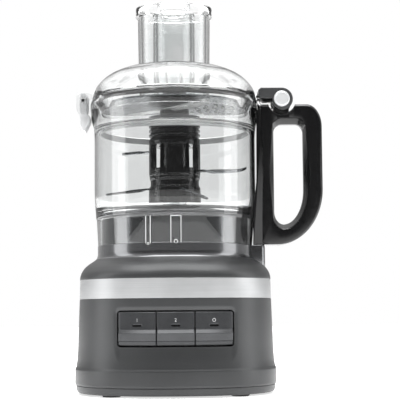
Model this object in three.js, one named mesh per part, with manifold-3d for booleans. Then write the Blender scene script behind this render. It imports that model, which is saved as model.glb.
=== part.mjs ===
// A 1.7 litre food processor: a belt-drive base with three paddle keys, a clear bowl with a D handle,
// a hinged lid with a feed tube and two nested pushers, a blade and a slicing and shredding disc on one stem.
// Millimetres, +Z up, front towards -Y, handle towards +X.
// While the pieces are made, the drive axis is X = Y = 0.
import * as THREE from "three";
import { mergeVertices } from "three/addons/utils/BufferGeometryUtils.js";
import Module from "manifold-3d";

const seat = 0.3; // gap between pieces that rest on or in each other
const runningGap = 0.5; // gap round pieces that turn or slide
const past = 1; // how far a cut runs beyond what it cuts
const roundSides = 32; // sides of a large turned piece
const smallSides = 12; // sides of a small turned piece

// Base
const baseHalfWidth = 101.6;
const baseHalfDepth = 104;
const squareness = 2.35; // exponent of the base's rounded-square plan
const baseWall = 2.6;
const shellBottom = 9.5;
const skirtTop = 27;
const skirtStep = 1.4; // how far the wall steps in above the skirt
const bandBottom = 94;
const bandHeight = 21;
const bandThickness = 1.3;
const waistHalfWidth = 97; // half width where the shell meets the band
const shoulderHeight = 24.5; // from the band up to the neck
const neckRadius = 79;
const neckHeight = 8.3;
const drumRadius = 74.6;
const drumHeight = 30;
const coverFloor = 3;
const coverUnderside = 2;
const footRadius = 9;
const footX = 62;
const footY = 66;
const screwTurn = THREE.MathUtils.degToRad(38.295); // of a base screw round the plan, from +X
const screwInset = 7.96; // from the base's edge in to a base screw
const screwRadius = 1.3;
const columnReach = 91.7; // outer face of the column under the handle
const columnHalfWidth = 13;
const bossX = 61; // bosses under the shoulder that hold the chassis
const bossY = 61;
const inletHeight = 44;

// Keys
const keyBarHalfWidth = 54.4;
const keyBottom = 49.4;
const keyTop = 81.6;
const keyGap = 0.7; // between two keys
const keyClearance = 1; // round the row of keys
const keyDepth = 9;
const switchRoom = 3.64; // from the back of a key to its switch
const boardHalfWidth = 54;
const boardRoom = 2.88; // from the back of the keys to the board
const switchHalfWidth = 4;
const keyTravelRoom = 1.8; // between a key's post and its switch
const ridgeHeight = 62.5;
const ridgeReach = 3.2;

// Drive
const motorY = 50;
const spindleRadius = 5;
const spindleTipRadius = 6.9;
const rotorShaftRadius = 3.5;
const spindlePulleyRadius = 34;
const motorPulleyRadius = 9;
const pulleyBottom = 18;
const pulleyHeight = 10;
const bearingRadius = 11;
const bearingHeight = 7;
const lowerPlate = 30;
const upperPlate = 110;
const plateThickness = 3;
const plateHalfSide = 66;
const armatureRadius = 21;
const statorHalfWidth = 38;
const statorBottom = 56;
const statorHeight = 32;

// Bowl
const bowlFootRadius = 78.3;
const bowlRadius = 82.2;
const bowlWall = 2.5;
const bowlSkirtHeight = 33;
const bowlFloor = 3;
const bowlHeight = 149.2; // from the skirt's edge to the rim
const rimRadius = 86.4;
const chimneyRadius = 12;
const chimneyWall = 2.4;
const chimneyHeight = 28; // above the bowl's floor
const channelHalfWidth = 9;
const tabX = 84.5; // the tab under the channel that presses the interlock switch
const channelReach = 88;
const lipRadius = 74.5; // splash lip inside the bowl, under the lid
const lipThickness = 3;
const lipBelowRim = 33.1;
const lugReach = 85.6;

// Handle
const handleReach = 151.3;
const handleHalfThickness = 13.5;
const handleBelowRim = 5.3;
const gripRight = 19; // width of the grip
const gripTop = 20; // height of the handle above its hole
const spineWidth = 13.6; // width of the handle between the channel and its hole
const handBelow = 21; // height of the handle under its hole
const handleScrewY = 4.5;

// Hinge
const pinX = 110.2;
const pinRadius = 3;
const pinHeadRadius = 8.2;
const pinAboveRim = 0.2;
const armRadius = 11.6;
const earRadius = 11;
const lugHalfWidth = 5;
const earWidth = 5;
const armSkin = 2.4;

// Lid
const domeHeight = 37;
const lidWall = 2.3;
const lidSkirtDepth = 12;
const lidSkirtRadius = 75.4;
const tubeStandOff = 12.2; // from the drive axis to the front of the feed tube
const tubeHalfWidth = 38.4;
const tubeRoom = 8; // from the small pusher out to the face of the feed tube, front and back
const tubeDraft = 1.3; // how much narrower the tube is at its lower end
const tubeSquareness = 2.6;
const tubeWall = 2.2;
const tubeHeight = 59; // above the top of the dome
const socketRadius = 8.5;
const socketBore = 6.2;
const latchPinX = -93.5;
const latchReach = 100.2;
const leverHalfWidth = 11;
const cheekWidth = 2.2;
const latchPinRadius = 1.6;

// Pushers
const pusherGap = 0.7;
const pusherWall = 2;
const pusherFlangeHalfWidth = 40.6;
const pusherFlangeHeight = 10;
const smallPusherRadius = 19.8;
const smallPusherWall = 1.8;
const capRadius = 17;
const capHeight = 10;

// Blade and disc
const stemWall = 2.5;
const stemNeckRadius = 12;
const hubRadius = 26.4;
const stemGap = 0.7;
const hubGap = 0.7;
const bladeThickness = 1.6;
const postHalfWidth = 11; // posts of the hub's cage
const postInner = 20.6;
const discRadius = 72.2;
const discThickness = 1.2;
const pilotRadius = 4.2;

// Heights and widths that follow from the sizes above
const bandTop = bandBottom + seat + bandHeight;
const shoulderBottom = bandTop + seat;
const neckBottom = shoulderBottom + shoulderHeight;
const deck = neckBottom + neckHeight;
const drumTop = deck + drumHeight;
const bowlBottom = deck + 0.7;
const bowlFloorUnder = bowlBottom + bowlSkirtHeight;
const bowlFloorTop = bowlFloorUnder + bowlFloor;
const rim = bowlBottom + bowlHeight;
const chimneyTop = bowlFloorTop + chimneyHeight;
const pinZ = rim + pinAboveRim;
const handleBottom = deck + seat;
const lidEdge = rim + seat;
const domeTop = lidEdge + domeHeight;
const tubeTop = domeTop + tubeHeight;
const tubeBottom = rim - 0.8;
const pusherBottom = tubeBottom + 4;
const discUnder = rim - 6.1;
const lipBottom = rim - lipBelowRim;
const lidSkirtBottom = rim - lidSkirtDepth;
const latchPinZ = rim - 0.8;
const lidBarBottom = rim - 3.2;
const channelTop = rim - 4;
const flareBottom = rim - 36;
const rimTopRadius = rimRadius - 2.3;
const floorRadius = bowlFootRadius + 1.6;
const handleScrewHeights = [bowlFloorTop + 2, rim - 30];
const tabBottom = deck - 6;
const innerTubeTop = tubeTop + 3;
const smallFlangeRadius = smallPusherRadius + 4;
const spindleTop = chimneyTop + 17;
const hubBottom = bowlFloorTop + 1.2;
const stemShoulder = discUnder - 9.4;
const stemTop = rim + 10.2;
const cageBottom = hubBottom + 41;
const cageTop = hubBottom + 65;
const hubTop = stemShoulder - 2.6;
const drumWall = 2.4;
const boltHeadHeight = 1.1;
const tongue = waistHalfWidth - bandThickness - 0.4;
const skirtHalfWidth = baseHalfWidth - 0.6;
const keyWidth = (2 * keyBarHalfWidth - 2 * keyGap) / 3;
const commutatorBottom = statorBottom + statorHeight + 7.5;
const handleLeft = channelReach + seat;
const sweepCentreZ = handleBottom + 57;
const holeLeft = handleLeft + spineWidth;
const holeRight = handleReach - gripRight;
const handleTop = rim - handleBelowRim;
const holeTop = handleTop - gripTop;
const tubeHalfDepth = smallPusherRadius + tubeRoom;
const tubeY = tubeStandOff + tubeHalfDepth;
const stemRadius = chimneyRadius + stemGap + stemWall;
const holeBottom = handleBottom + handBelow;
const earOuter = lugHalfWidth + 0.4 + earWidth;

const wasm = await Module();
wasm.setup();

// A closed solid from a geometry whose shared corners are merged.
function solidOf(geometry) {
  const bare = geometry.clone();
  bare.deleteAttribute("normal");
  bare.deleteAttribute("uv");
  const merged = mergeVertices(bare, 1e-3);
  const corners = {
    numProp: 3,
    vertProperties: merged.attributes.position.array,
    triVerts: new Uint32Array(merged.index.array),
  };
  return new wasm.Manifold(new wasm.Mesh(corners));
}

function geometryOf(solid) {
  const { vertProperties, triVerts } = solid.getMesh();
  const geometry = new THREE.BufferGeometry();
  geometry.setAttribute("position", new THREE.BufferAttribute(vertProperties, 3));
  geometry.setIndex(new THREE.BufferAttribute(triVerts, 1));
  geometry.computeVertexNormals();
  return geometry;
}

function join(first, ...others) {
  const solid = others.reduce((sum, other) => sum.add(solidOf(other)), solidOf(first));
  return geometryOf(solid);
}

function cut(first, ...others) {
  const solid = others.reduce((rest, other) => rest.subtract(solidOf(other)), solidOf(first));
  return geometryOf(solid);
}

function common(first, second) {
  return geometryOf(solidOf(first).intersect(solidOf(second)));
}

// Turns a profile of [radius, height] points round the Z axis.
// It closes on itself unless it starts on the axis.
function turned(profile, sides = roundSides) {
  const onAxis = profile[0][0] === 0;
  const area = profile.reduce((sum, [r, z], i) => {
    const [r2, z2] = profile[(i + 1) % profile.length];
    return sum + r * z2 - r2 * z;
  }, 0);
  const ordered = area < 0 ? [...profile].reverse() : profile;
  const loop = onAxis ? ordered : [...ordered, ordered[0]];
  const points = loop.map(([r, z]) => new THREE.Vector2(r, z));
  return new THREE.LatheGeometry(points, sides).rotateX(Math.PI / 2);
}

function rod(radius, bottom, top, sides = smallSides) {
  return new THREE.CylinderGeometry(radius, radius, top - bottom, sides)
    .rotateX(Math.PI / 2)
    .translate(0, 0, (top + bottom) / 2);
}

function ring(outer, inner, bottom, top, sides = smallSides) {
  return turned([[inner, bottom], [outer, bottom], [outer, top], [inner, top]], sides);
}

function box(x1, x2, y1, y2, z1, z2) {
  return new THREE.BoxGeometry(x2 - x1, y2 - y1, z2 - z1)
    .translate((x1 + x2) / 2, (y1 + y2) / 2, (z1 + z2) / 2);
}

// How far the superellipse |x|^power + |y|^power = 1 lies from its centre in a direction.
function superellipse(cos, sin, power) {
  return (Math.abs(cos) ** power + Math.abs(sin) ** power) ** (-1 / power);
}

// Makes round plans square: each point moves out by the superellipse's factor, as much as shareAt(z) says.
function squared(geometry, power, depthRatio, shareAt = () => 1) {
  const position = geometry.attributes.position;
  for (let i = 0; i < position.count; i++) {
    const x = position.getX(i);
    const y = position.getY(i);
    const radius = Math.hypot(x, y);
    if (radius < 1e-6) continue;
    const share = shareAt(position.getZ(i));
    const factor = 1 + share * (superellipse(x / radius, y / radius, power) - 1);
    position.setX(i, x * factor);
    position.setY(i, y * factor * (1 + share * (depthRatio - 1)));
  }
  return geometry;
}

// The base's plan is square up to the shoulder and round at the neck.
function baseShare(z) {
  return 1 - THREE.MathUtils.smoothstep(z, shoulderBottom + 3, neckBottom - 3);
}

function baseForm(profile, sides = roundSides) {
  return squared(turned(profile, sides), squareness, baseHalfDepth / baseHalfWidth, baseShare);
}

function tubeForm(profile) {
  return squared(turned(profile), tubeSquareness, tubeHalfDepth / tubeHalfWidth).translate(0, tubeY, 0);
}

// A flat outline in X and Z, as thick as halfWidth to both sides of y.
function slab(shape, halfWidth, y = 0, curveSegments = 8) {
  return new THREE.ExtrudeGeometry(shape, { depth: 2 * halfWidth, bevelEnabled: false, curveSegments })
    .rotateX(Math.PI / 2)
    .translate(0, y + halfWidth, 0);
}

// A flat outline in X and Y, from one height up to another.
function raised(shape, bottom, top, curveSegments = 6) {
  return new THREE.ExtrudeGeometry(shape, { depth: top - bottom, bevelEnabled: false, curveSegments })
    .translate(0, 0, bottom);
}

function outline(points) {
  return new THREE.Shape(points.map(([x, y]) => new THREE.Vector2(x, y)));
}

function roundedRectangle(x1, x2, y1, y2, corner) {
  const shape = new THREE.Shape();
  shape.absarc(x2 - corner, y2 - corner, corner, 0, Math.PI / 2);
  shape.absarc(x1 + corner, y2 - corner, corner, Math.PI / 2, Math.PI);
  shape.absarc(x1 + corner, y1 + corner, corner, Math.PI, 1.5 * Math.PI);
  shape.absarc(x2 - corner, y1 + corner, corner, 1.5 * Math.PI, 2 * Math.PI);
  return shape;
}

const finishes = {
  greyPaint: { color: 0x565758, roughness: 0.45, metalness: 0.1 },
  brushedBand: { color: 0xcfd0d1, roughness: 0.35, metalness: 0.9 },
  blackPlastic: { color: 0x18191a, roughness: 0.3, metalness: 0 },
  darkPlastic: { color: 0x3c3d3f, roughness: 0.4, metalness: 0 },
  clearPlastic: { color: 0xdfe2e3, roughness: 0.05, metalness: 0, transparent: true, opacity: 0.35 },
  silverPlastic: { color: 0xd8d9da, roughness: 0.3, metalness: 0.3 },
  rubber: { color: 0x2a2a2b, roughness: 0.9, metalness: 0 },
  steel: { color: 0xb9bbbd, roughness: 0.25, metalness: 1 },
  copper: { color: 0xa8653a, roughness: 0.4, metalness: 1 },
  aluminium: { color: 0xb5b7b9, roughness: 0.5, metalness: 1 },
  board: { color: 0x2f5a3c, roughness: 0.6, metalness: 0 },
};

const machine = new THREE.Group();

function add(name, geometry, finish, place = [0, 0, 0]) {
  const mesh = new THREE.Mesh(geometry, new THREE.MeshStandardMaterial(finishes[finish]));
  mesh.name = name;
  mesh.position.set(...place);
  machine.add(mesh);
}

const corners = [[-1, -1], [1, -1], [1, 1], [-1, 1]];

const screwReach = (baseHalfWidth - screwInset) *
  superellipse(Math.cos(screwTurn), Math.sin(screwTurn), squareness);
const screwX = screwReach * Math.cos(screwTurn);
const screwY = screwReach * Math.sin(screwTurn) * (baseHalfDepth / baseHalfWidth);

// Base shell: skirt, tapering wall and the tongue that carries the band.
const shellPlan = [
  [baseHalfWidth, shellBottom],
  [skirtHalfWidth, skirtTop],
  [skirtHalfWidth - skirtStep, skirtTop + 4],
  [waistHalfWidth, bandBottom],
];

function shellHalfWidthAt(z) {
  const [[, skirt], [foot, footZ], [waist, waistZ]] = [shellPlan[1], shellPlan[2], shellPlan[3]];
  return z < skirt ? skirtHalfWidth : foot + ((z - footZ) * (waist - foot)) / (waistZ - footZ);
}

// The y of the back of the row of keys at x.
function keyBackAt(x) {
  const width = shellHalfWidthAt(keyBottom) - keyDepth;
  const depth = (width ** squareness - x ** squareness) ** (1 / squareness);
  return -depth * (baseHalfDepth / baseHalfWidth);
}

const switchFront = keyBackAt(keyWidth + keyGap + switchHalfWidth) + switchRoom;
const boardFront = keyBackAt(boardHalfWidth) + boardRoom;

function baseShell() {
  const inner = shellPlan.slice(0, 3).map(([r, z]) => [r - baseWall, z]).reverse();
  const profile = [
    ...shellPlan,
    [tongue, bandBottom],
    [tongue, bandTop - 3],
    [tongue - baseWall, bandTop - 3],
    [tongue - baseWall, bandBottom - 4],
    ...inner,
  ];
  const bosses = corners.map(([sx, sy]) =>
    rod(5.2, shellBottom + 3.8, 30, 8).translate(sx * screwX, sy * screwY, 0));
  const pilots = corners.map(([sx, sy]) =>
    rod(screwRadius + seat, shellBottom, 24, 8).translate(sx * screwX, sy * screwY, 0));
  const opening = keyBarHalfWidth + keyClearance;
  const [low, high] = [keyBottom - keyClearance, keyTop + keyClearance];
  const keyHole = box(-opening, opening, -baseHalfDepth - past, -40, low, high);
  const cordHole = rod(6 + seat, 0, 60).rotateX(-Math.PI / 2).translate(0, shellBackInner - 20, inletHeight);
  return cut(join(baseForm(profile), ...bosses), keyHole, cordHole, ...pilots);
}

const shellBackInner = (shellHalfWidthAt(inletHeight) - baseWall) * (baseHalfDepth / baseHalfWidth);

// The rear bush that the cord would enter through: a flange outside, a barrel through the wall, a bore.
function cordInlet() {
  const outside = baseHalfDepth - shellBackInner;
  const profile = [
    [3.6, -4], [6, -4], [6, outside - 1.6], [9, outside - 1.6], [8, outside], [3.6, outside],
  ];
  return turned(profile, 12).rotateX(-Math.PI / 2).translate(0, shellBackInner, inletHeight);
}

// Bottom cover: a shallow pan with a tongue inside the shell, foot holes, screw holes and vents.
function bottomCover() {
  const edge = shellBottom - seat;
  const tongueOuter = baseHalfWidth - baseWall - 1;
  const floorTop = coverUnderside + coverFloor;
  const profile = [
    [0, coverUnderside],
    [baseHalfWidth - 3.3, coverUnderside],
    [baseHalfWidth - 1.7, edge],
    [tongueOuter, edge],
    [tongueOuter, edge + 3.5],
    [tongueOuter - 1.8, edge + 3.5],
    [tongueOuter - 1.8, floorTop],
    [0, floorTop],
  ];
  const footHoles = corners.map(([sx, sy]) =>
    rod(4.2 + seat, 0, 10, 8).translate(sx * footX, sy * footY, 0));
  const screwHoles = corners.flatMap(([sx, sy]) => [
    rod(screwRadius + seat, 0, 14, 8).translate(sx * screwX, sy * screwY, 0),
    rod(4, 0, coverUnderside + 1.6, 8).translate(sx * screwX, sy * screwY, 0),
  ]);
  const vents = [-24, -12, 0, 12, 24].map((x) =>
    box(x - 1.5, x + 1.5, motorY - 18, motorY + 18, 0, 10));
  return cut(baseForm(profile), ...footHoles, ...screwHoles, ...vents);
}

function foot() {
  const top = coverUnderside - seat;
  const head = coverUnderside + coverFloor + seat;
  return turned([
    [0, 0], [footRadius - 0.8, 0], [footRadius, 0.8], [footRadius, top], [4, top],
    [4, head], [5.4, head], [4.4, head + 2], [0, head + 2],
  ], 12);
}

function baseScrew() {
  const headBottom = coverUnderside + 0.2;
  const headTop = headBottom + boltHeadHeight;
  return turned([
    [0, headBottom], [3.5, headBottom], [3.5, headTop], [screwRadius, headTop], [screwRadius, 23], [0, 23.6],
  ], 8);
}

function trimBand() {
  const bottom = bandBottom + seat;
  return baseForm([
    [waistHalfWidth, bottom],
    [waistHalfWidth - 0.6, bandTop],
    [tongue + 0.4, bandTop],
    [tongue + 0.4, bottom],
  ]);
}

// Top cover: shoulder, neck, deck and the drum that the bowl's skirt goes over, with the column beside it.
function topCover() {
  const wall = drumWall;
  const lip = waistHalfWidth - 0.3;
  const outside = [
    [lip, shoulderBottom],
    [lip - 0.2, shoulderBottom + 2.6],
    [lip - 2.4, shoulderBottom + 9.3],
    [lip - 7.5, shoulderBottom + 15.4],
    [neckRadius + 4.5, neckBottom - 5.3],
    [neckRadius + 1.4, neckBottom - 2.6],
    [neckRadius, neckBottom],
    [neckRadius, deck],
    [drumRadius, deck],
    [drumRadius, drumTop - 2],
    [drumRadius - 2, drumTop],
    [spindleTipRadius + runningGap, drumTop],
  ];
  const inside = [
    [spindleTipRadius + runningGap, drumTop - wall],
    [drumRadius - wall, drumTop - wall],
    [drumRadius - wall, deck - wall],
    [neckRadius - wall, deck - wall],
    [neckRadius - wall, neckBottom - 0.4],
    [neckRadius + 2.4, neckBottom - 6.6],
    [lip - 4.9, shoulderBottom + 8.6],
    [lip - 2.4, shoulderBottom],
  ];
  const half = columnHalfWidth;
  const column = raised(roundedRectangle(60, columnReach, -half, half, 7), shoulderBottom + 4, deck);
  const pocketShape = roundedRectangle(57, columnReach - wall, -half + wall, half - wall, 5);
  const pocket = raised(pocketShape, shoulderBottom - past, deck - wall);
  const keepOff = rod(drumRadius - wall, shoulderBottom, deck, roundSides);
  const tabSlot = interlockTab(runningGap);
  const bosses = corners.map(([sx, sy]) =>
    rod(4.5, upperPlate + plateThickness + seat, neckBottom, 8).translate(sx * bossX, sy * bossY, 0));
  const below = upperPlate;
  const filled = baseForm([[0, below], [lip, below], ...outside.slice(0, 8), [0, deck]]);
  const shell = baseForm([...outside, ...inside]);
  return cut(join(shell, cut(column, keepOff), common(join(...bosses), filled)), pocket, tabSlot);
}

// Keys: one curved bar that follows the base's wall, cut into three.
function keyBar() {
  const wallAt = (z) => shellHalfWidthAt(z);
  const back = (z) => wallAt(z) - keyDepth;
  return baseForm([
    [wallAt(keyBottom) - 2.2, keyBottom],
    [wallAt(keyBottom) - 0.4, keyBottom + 2.5],
    [wallAt(ridgeHeight) + ridgeReach - 0.8, ridgeHeight - 3.4],
    [wallAt(ridgeHeight) + ridgeReach, ridgeHeight - 2],
    [wallAt(ridgeHeight) + ridgeReach - 0.6, ridgeHeight],
    [wallAt(ridgeHeight) + 0.6, ridgeHeight + 2.6],
    [wallAt(keyTop) - 0.6, keyTop - 1],
    [wallAt(keyTop) - 1.6, keyTop],
    [back(keyTop), keyTop],
    [back(keyBottom), keyBottom],
  ], 64);
}

function keyCentre(i) {
  return (i - 1) * (keyWidth + keyGap);
}

function paddleKey(bar, i) {
  const x = keyCentre(i);
  const half = keyWidth / 2;
  const slice = box(x - half, x + half, -baseHalfDepth - 9, -50, keyBottom - past, keyTop + past);
  const post = box(x - 2, x + 2, keyDepth + 1 - baseHalfDepth, switchFront - keyTravelRoom, 56, 60);
  return join(common(bar, slice), post);
}

function keySwitch(i) {
  const x = keyCentre(i);
  return box(x - switchHalfWidth, x + switchHalfWidth, switchFront, boardFront - seat, 52, 64);
}

function controlBoard() {
  return box(-boardHalfWidth, boardHalfWidth, boardFront, boardFront + 1.6, 42, 90);
}

// Drive train: spindle on the drive axis, motor behind it, belt below.
function spindle() {
  const top = spindleTop;
  const shaft = turned([
    [0, pulleyBottom - 4], [spindleRadius, pulleyBottom - 4], [spindleRadius, chimneyTop - 2],
    [0, chimneyTop - 2],
  ], 20);
  const drive = rod(spindleTipRadius, chimneyTop - 8, top, 6);
  return join(shaft, drive);
}

function bearing(bottom) {
  return ring(bearingRadius, spindleRadius + seat, bottom, bottom + bearingHeight, 16);
}

function spindlePulley() {
  const bottom = pulleyBottom;
  const top = bottom + pulleyHeight;
  const [bore, hub, web, outer] = [spindleRadius + seat, 11, 30, spindlePulleyRadius];
  return turned([
    [bore, bottom], [hub, bottom], [hub, bottom + 3.5], [web, bottom + 3.5], [web, bottom], [outer, bottom],
    [outer, top], [web, top], [web, top - 3.5], [hub, top - 3.5], [hub, top], [bore, top],
  ], 24);
}

function motorPulley() {
  return ring(motorPulleyRadius, rotorShaftRadius + seat, pulleyBottom, pulleyBottom + pulleyHeight, 16);
}

// The belt's two straight runs touch both pulleys' circles.
function beltLoop(extra, path) {
  const [large, small] = [spindlePulleyRadius + extra, motorPulleyRadius + extra];
  const lean = Math.asin((large - small) / motorY);
  path.absarc(0, 0, large, Math.PI - lean, lean, false);
  path.absarc(0, motorY, small, lean, Math.PI - lean, false);
  return path;
}

function driveBelt() {
  const shape = beltLoop(2, new THREE.Shape());
  shape.holes.push(beltLoop(seat, new THREE.Path()));
  return raised(shape, pulleyBottom + 1.5, pulleyBottom + pulleyHeight - 1.5, 10);
}

function rotorShaft() {
  return rod(rotorShaftRadius, pulleyBottom - 3, upperPlate + 2);
}

function armature() {
  const slots = 12;
  const points = [];
  for (let i = 0; i < slots; i++) {
    const turn = (2 * Math.PI * i) / slots;
    const [wide, narrow] = [0.2, 0.08];
    const pairs = [[-wide, armatureRadius], [wide, armatureRadius]];
    const slot = [[wide + narrow / 2, armatureRadius - 5], [wide + 1.2 * narrow, armatureRadius - 5]];
    for (const [angle, radius] of [...pairs, ...slot])
      points.push([radius * Math.cos(turn + angle), radius * Math.sin(turn + angle)]);
  }
  const shape = outline(points);
  shape.holes.push(new THREE.Path().absarc(0, 0, rotorShaftRadius + seat, 0, 2 * Math.PI));
  return raised(shape, statorBottom - 1, statorBottom + statorHeight + 1);
}

function motorStator() {
  const half = statorHalfWidth;
  const shape = roundedRectangle(-half, half, -half + 4, half - 4, 10);
  const body = raised(shape, statorBottom, statorBottom + statorHeight);
  const bore = rod(armatureRadius + 1, 0, 200, 20);
  return cut(body, bore, box(-31, 31, -18, 18, 0, 200));
}

function fieldWinding(side) {
  const [inner, outer] = [armatureRadius + 1.6, 30.4];
  const [x1, x2] = side < 0 ? [-outer, -inner] : [inner, outer];
  const shape = roundedRectangle(x1, x2, -16.5, 16.5, 3);
  return raised(shape, statorBottom - 5.5, statorBottom + statorHeight + 5.5);
}

function commutator() {
  return ring(11, rotorShaftRadius + seat, commutatorBottom, commutatorBottom + 10, 18);
}

function brushHolder(side) {
  const [near, far] = [11.4, 27];
  const [y1, y2] = side < 0 ? [-far, -near] : [near, far];
  return box(-4.5, 4.5, y1, y2, commutatorBottom + 1, commutatorBottom + 9);
}

// Cooling fan: a disc with radial vanes under it.
function coolingFan() {
  const top = statorBottom - 8;
  const vaneCount = 6;
  const vanes = Array.from({ length: vaneCount }, (_, i) =>
    box(7, 28, -0.7, 0.7, top - 9, top - 1).rotateZ((2 * i * Math.PI) / vaneCount));
  const disc = ring(29, rotorShaftRadius + seat, top - 1.6, top, 20);
  const hub = ring(8, rotorShaftRadius + seat, top - 9, top - 1, 12);
  return join(disc, hub, ...vanes);
}

// Chassis: two plates on four pillars, with seats for the bearings.
function chassis() {
  const [low, high] = [lowerPlate, upperPlate];
  const top = high + plateThickness;
  const lower = raised(roundedRectangle(-48, 48, -24, 84, 8), low, low + plateThickness);
  const plate = roundedRectangle(-plateHalfSide, plateHalfSide, -plateHalfSide, plateHalfSide, 12);
  const upper = raised(plate, high, top);
  const pillars = [[-43, -18], [43, -18], [43, 60], [-43, 60]].map(([x, y]) =>
    rod(4, low + 1, high + 1, 8).translate(x, y, 0));
  const seats = [low, top - bearingHeight].map((z) => rod(bearingRadius + 3, z, z + bearingHeight, 16));
  const spindleHole = rod(bearingRadius + seat + 0.3, low - past, top + past, 16);
  const shaftHole = rod(rotorShaftRadius + seat, low - past, top + past).translate(0, motorY, 0);
  const airHoles = [-1, 1].map((side) => rod(9, low - past, low + 10, 8).translate(side * 20, motorY, 0));
  return cut(join(lower, upper, ...pillars, ...seats), spindleHole, shaftHole, ...airHoles);
}

// The bowl's tab reaches through the column's slot, down to the interlock switch.
function interlockTab(extra) {
  const [halfX, halfY] = [1.5 + extra, 3 + extra];
  return box(tabX - halfX, tabX + halfX, -halfY, halfY, tabBottom - extra, bowlBottom + 2);
}

function interlockSwitch() {
  const top = tabBottom - seat;
  return box(tabX - 4, tabX + 4, -6, 6, top - 14, top);
}

// Bowl: skirt, floor, wall, rim and chimney in one clear moulding, with the handle channel and the latch lug.
const bowlProfile = [
  [bowlFootRadius, bowlBottom],
  [floorRadius, bowlFloorUnder],
  [bowlRadius, bowlFloorUnder + 22],
  [bowlRadius, flareBottom],
  [bowlRadius + 1.2, rim - 23],
  [rimRadius, rim - 9],
  [rimRadius, rim - 4],
  [rimTopRadius, rim],
];

function bowl() {
  const wall = bowlWall;
  const inside = [
    [rimTopRadius - wall, rim],
    [rimTopRadius - wall, rim - 7],
    [bowlRadius + 1.2 - wall, rim - 21],
    [bowlRadius + 0.4 - wall, lipBottom + lipThickness],
    [lipRadius, lipBottom + lipThickness],
    [lipRadius, lipBottom],
    [bowlRadius + 0.2 - wall, lipBottom],
    [bowlRadius - wall, flareBottom],
    [bowlRadius - wall, bowlFloorUnder + 22],
    [floorRadius - wall, bowlFloorTop + 5],
    [floorRadius - wall - 6, bowlFloorTop],
    [chimneyRadius, bowlFloorTop],
    [chimneyRadius, chimneyTop],
    [chimneyRadius - chimneyWall, chimneyTop],
    [chimneyRadius - chimneyWall, bowlFloorUnder],
    [floorRadius - wall, bowlFloorUnder],
    [bowlFootRadius - wall, bowlBottom],
  ];
  const shell = turned([...bowlProfile, ...inside]);
  const hollow = turned([[0, bowlFloorTop - past], [floorRadius - wall / 2, bowlFloorTop - past],
    [bowlRadius - wall / 2, bowlFloorUnder + 22], [bowlRadius - wall / 2, flareBottom],
    [rimTopRadius - wall / 2, rim - 8], [rimTopRadius - wall / 2, rim], [0, rim]]);
  const under = rod(bowlFootRadius - wall / 2, bowlBottom - past, bowlFloorUnder + past, roundSides);
  const block = box(70, channelReach, -channelHalfWidth, channelHalfWidth, bowlBottom, channelTop);
  const lugShape = outline([
    [-76, rim - 28], [-81, rim - 28], [-lugReach, rim - 17], [-lugReach, rim - 14], [-76, rim - 14],
  ]);
  const lug = slab(lugShape, 10);
  const pilots = handleScrewHeights.map((z) =>
    rod(screwRadius + seat, 0, 4).rotateY(Math.PI / 2).translate(channelReach - 3.5, handleScrewY, z));
  return cut(join(shell, cut(block, hollow, under), cut(lug, hollow), interlockTab(0)), ...pilots);
}

// Handle: a D with a hand hole, a seat for the lid's knuckle and the lug that the hinge pin goes through.

function handleOutline() {
  const shape = new THREE.Shape();
  const sweepX = handleReach - 47;
  const cornerX = handleReach - 15.5;
  shape.moveTo(handleLeft, handleBottom);
  shape.lineTo(sweepX, handleBottom);
  shape.absellipse(sweepX, sweepCentreZ, handleReach - sweepX, sweepCentreZ - handleBottom, -Math.PI / 2, 0);
  shape.absellipse(cornerX, handleTop - 23, handleReach - cornerX, 23, 0, Math.PI / 2);
  shape.lineTo(handleLeft, handleTop);
  shape.closePath();
  return shape;
}

function handHole() {
  const hole = new THREE.Path();
  const lowX = holeLeft + 7;
  hole.moveTo(lowX, holeBottom);
  hole.absellipse(lowX + 2, holeBottom + 36, holeRight - lowX - 2, 36, -Math.PI / 2, 0);
  hole.absellipse(holeRight - 8, holeTop - 8, 8, 8, 0, Math.PI / 2);
  hole.absellipse(holeLeft + 8, holeTop - 8, 8, 8, Math.PI / 2, Math.PI);
  hole.lineTo(holeLeft + 4, holeBottom + 6);
  hole.closePath();
  return hole;
}

function along(x, z, radius, halfWidth, sides = 20) {
  return new THREE.CylinderGeometry(radius, radius, 2 * halfWidth, sides).translate(x, 0, z);
}

function handleGrip() {
  const shape = handleOutline();
  shape.holes.push(handHole());
  const half = handleHalfThickness;
  const body = slab(shape, half, 0, 7);
  const knuckleSeat = along(pinX, pinZ, armRadius + 3.4, half + past, 24);
  const lug = join(
    along(pinX, pinZ, 8, lugHalfWidth),
    box(pinX - 8, pinX + 8, -lugHalfWidth, lugHalfWidth, pinZ - armRadius - 7, pinZ));
  const pinBore = along(pinX, pinZ, pinRadius + seat, half + past);
  const armRoom = box(handleLeft - past, pinX, -half - past, half + past, lidBarBottom - 1.4, rim + 20);
  const screws = handleScrewHeights.flatMap((z) => [
    rod(screwRadius + seat, 0, 40).rotateY(Math.PI / 2).translate(handleLeft - past, handleScrewY, z),
    rod(3.5 + seat, 0, 12).rotateY(Math.PI / 2).translate(holeLeft - 4, handleScrewY, z),
  ]);
  return cut(join(cut(body, knuckleSeat, armRoom), lug), pinBore, ...screwCuts(screws));
}

// The screws' cuts stop inside the hand hole, so that they leave the grip whole.
function screwCuts(screws) {
  const room = box(handleLeft - past, holeLeft + 8, -20, 20, handleBottom, handleTop);
  return screws.map((screw) => common(screw, room));
}

function handleScrew() {
  const head = holeLeft - 3.2;
  return turned([
    [0, channelReach - 3], [screwRadius, channelReach - 3], [screwRadius, head],
    [3.5, head], [3.5, head + 1.8], [0, head + 1.8],
  ], 10).rotateY(Math.PI / 2);
}

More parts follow.
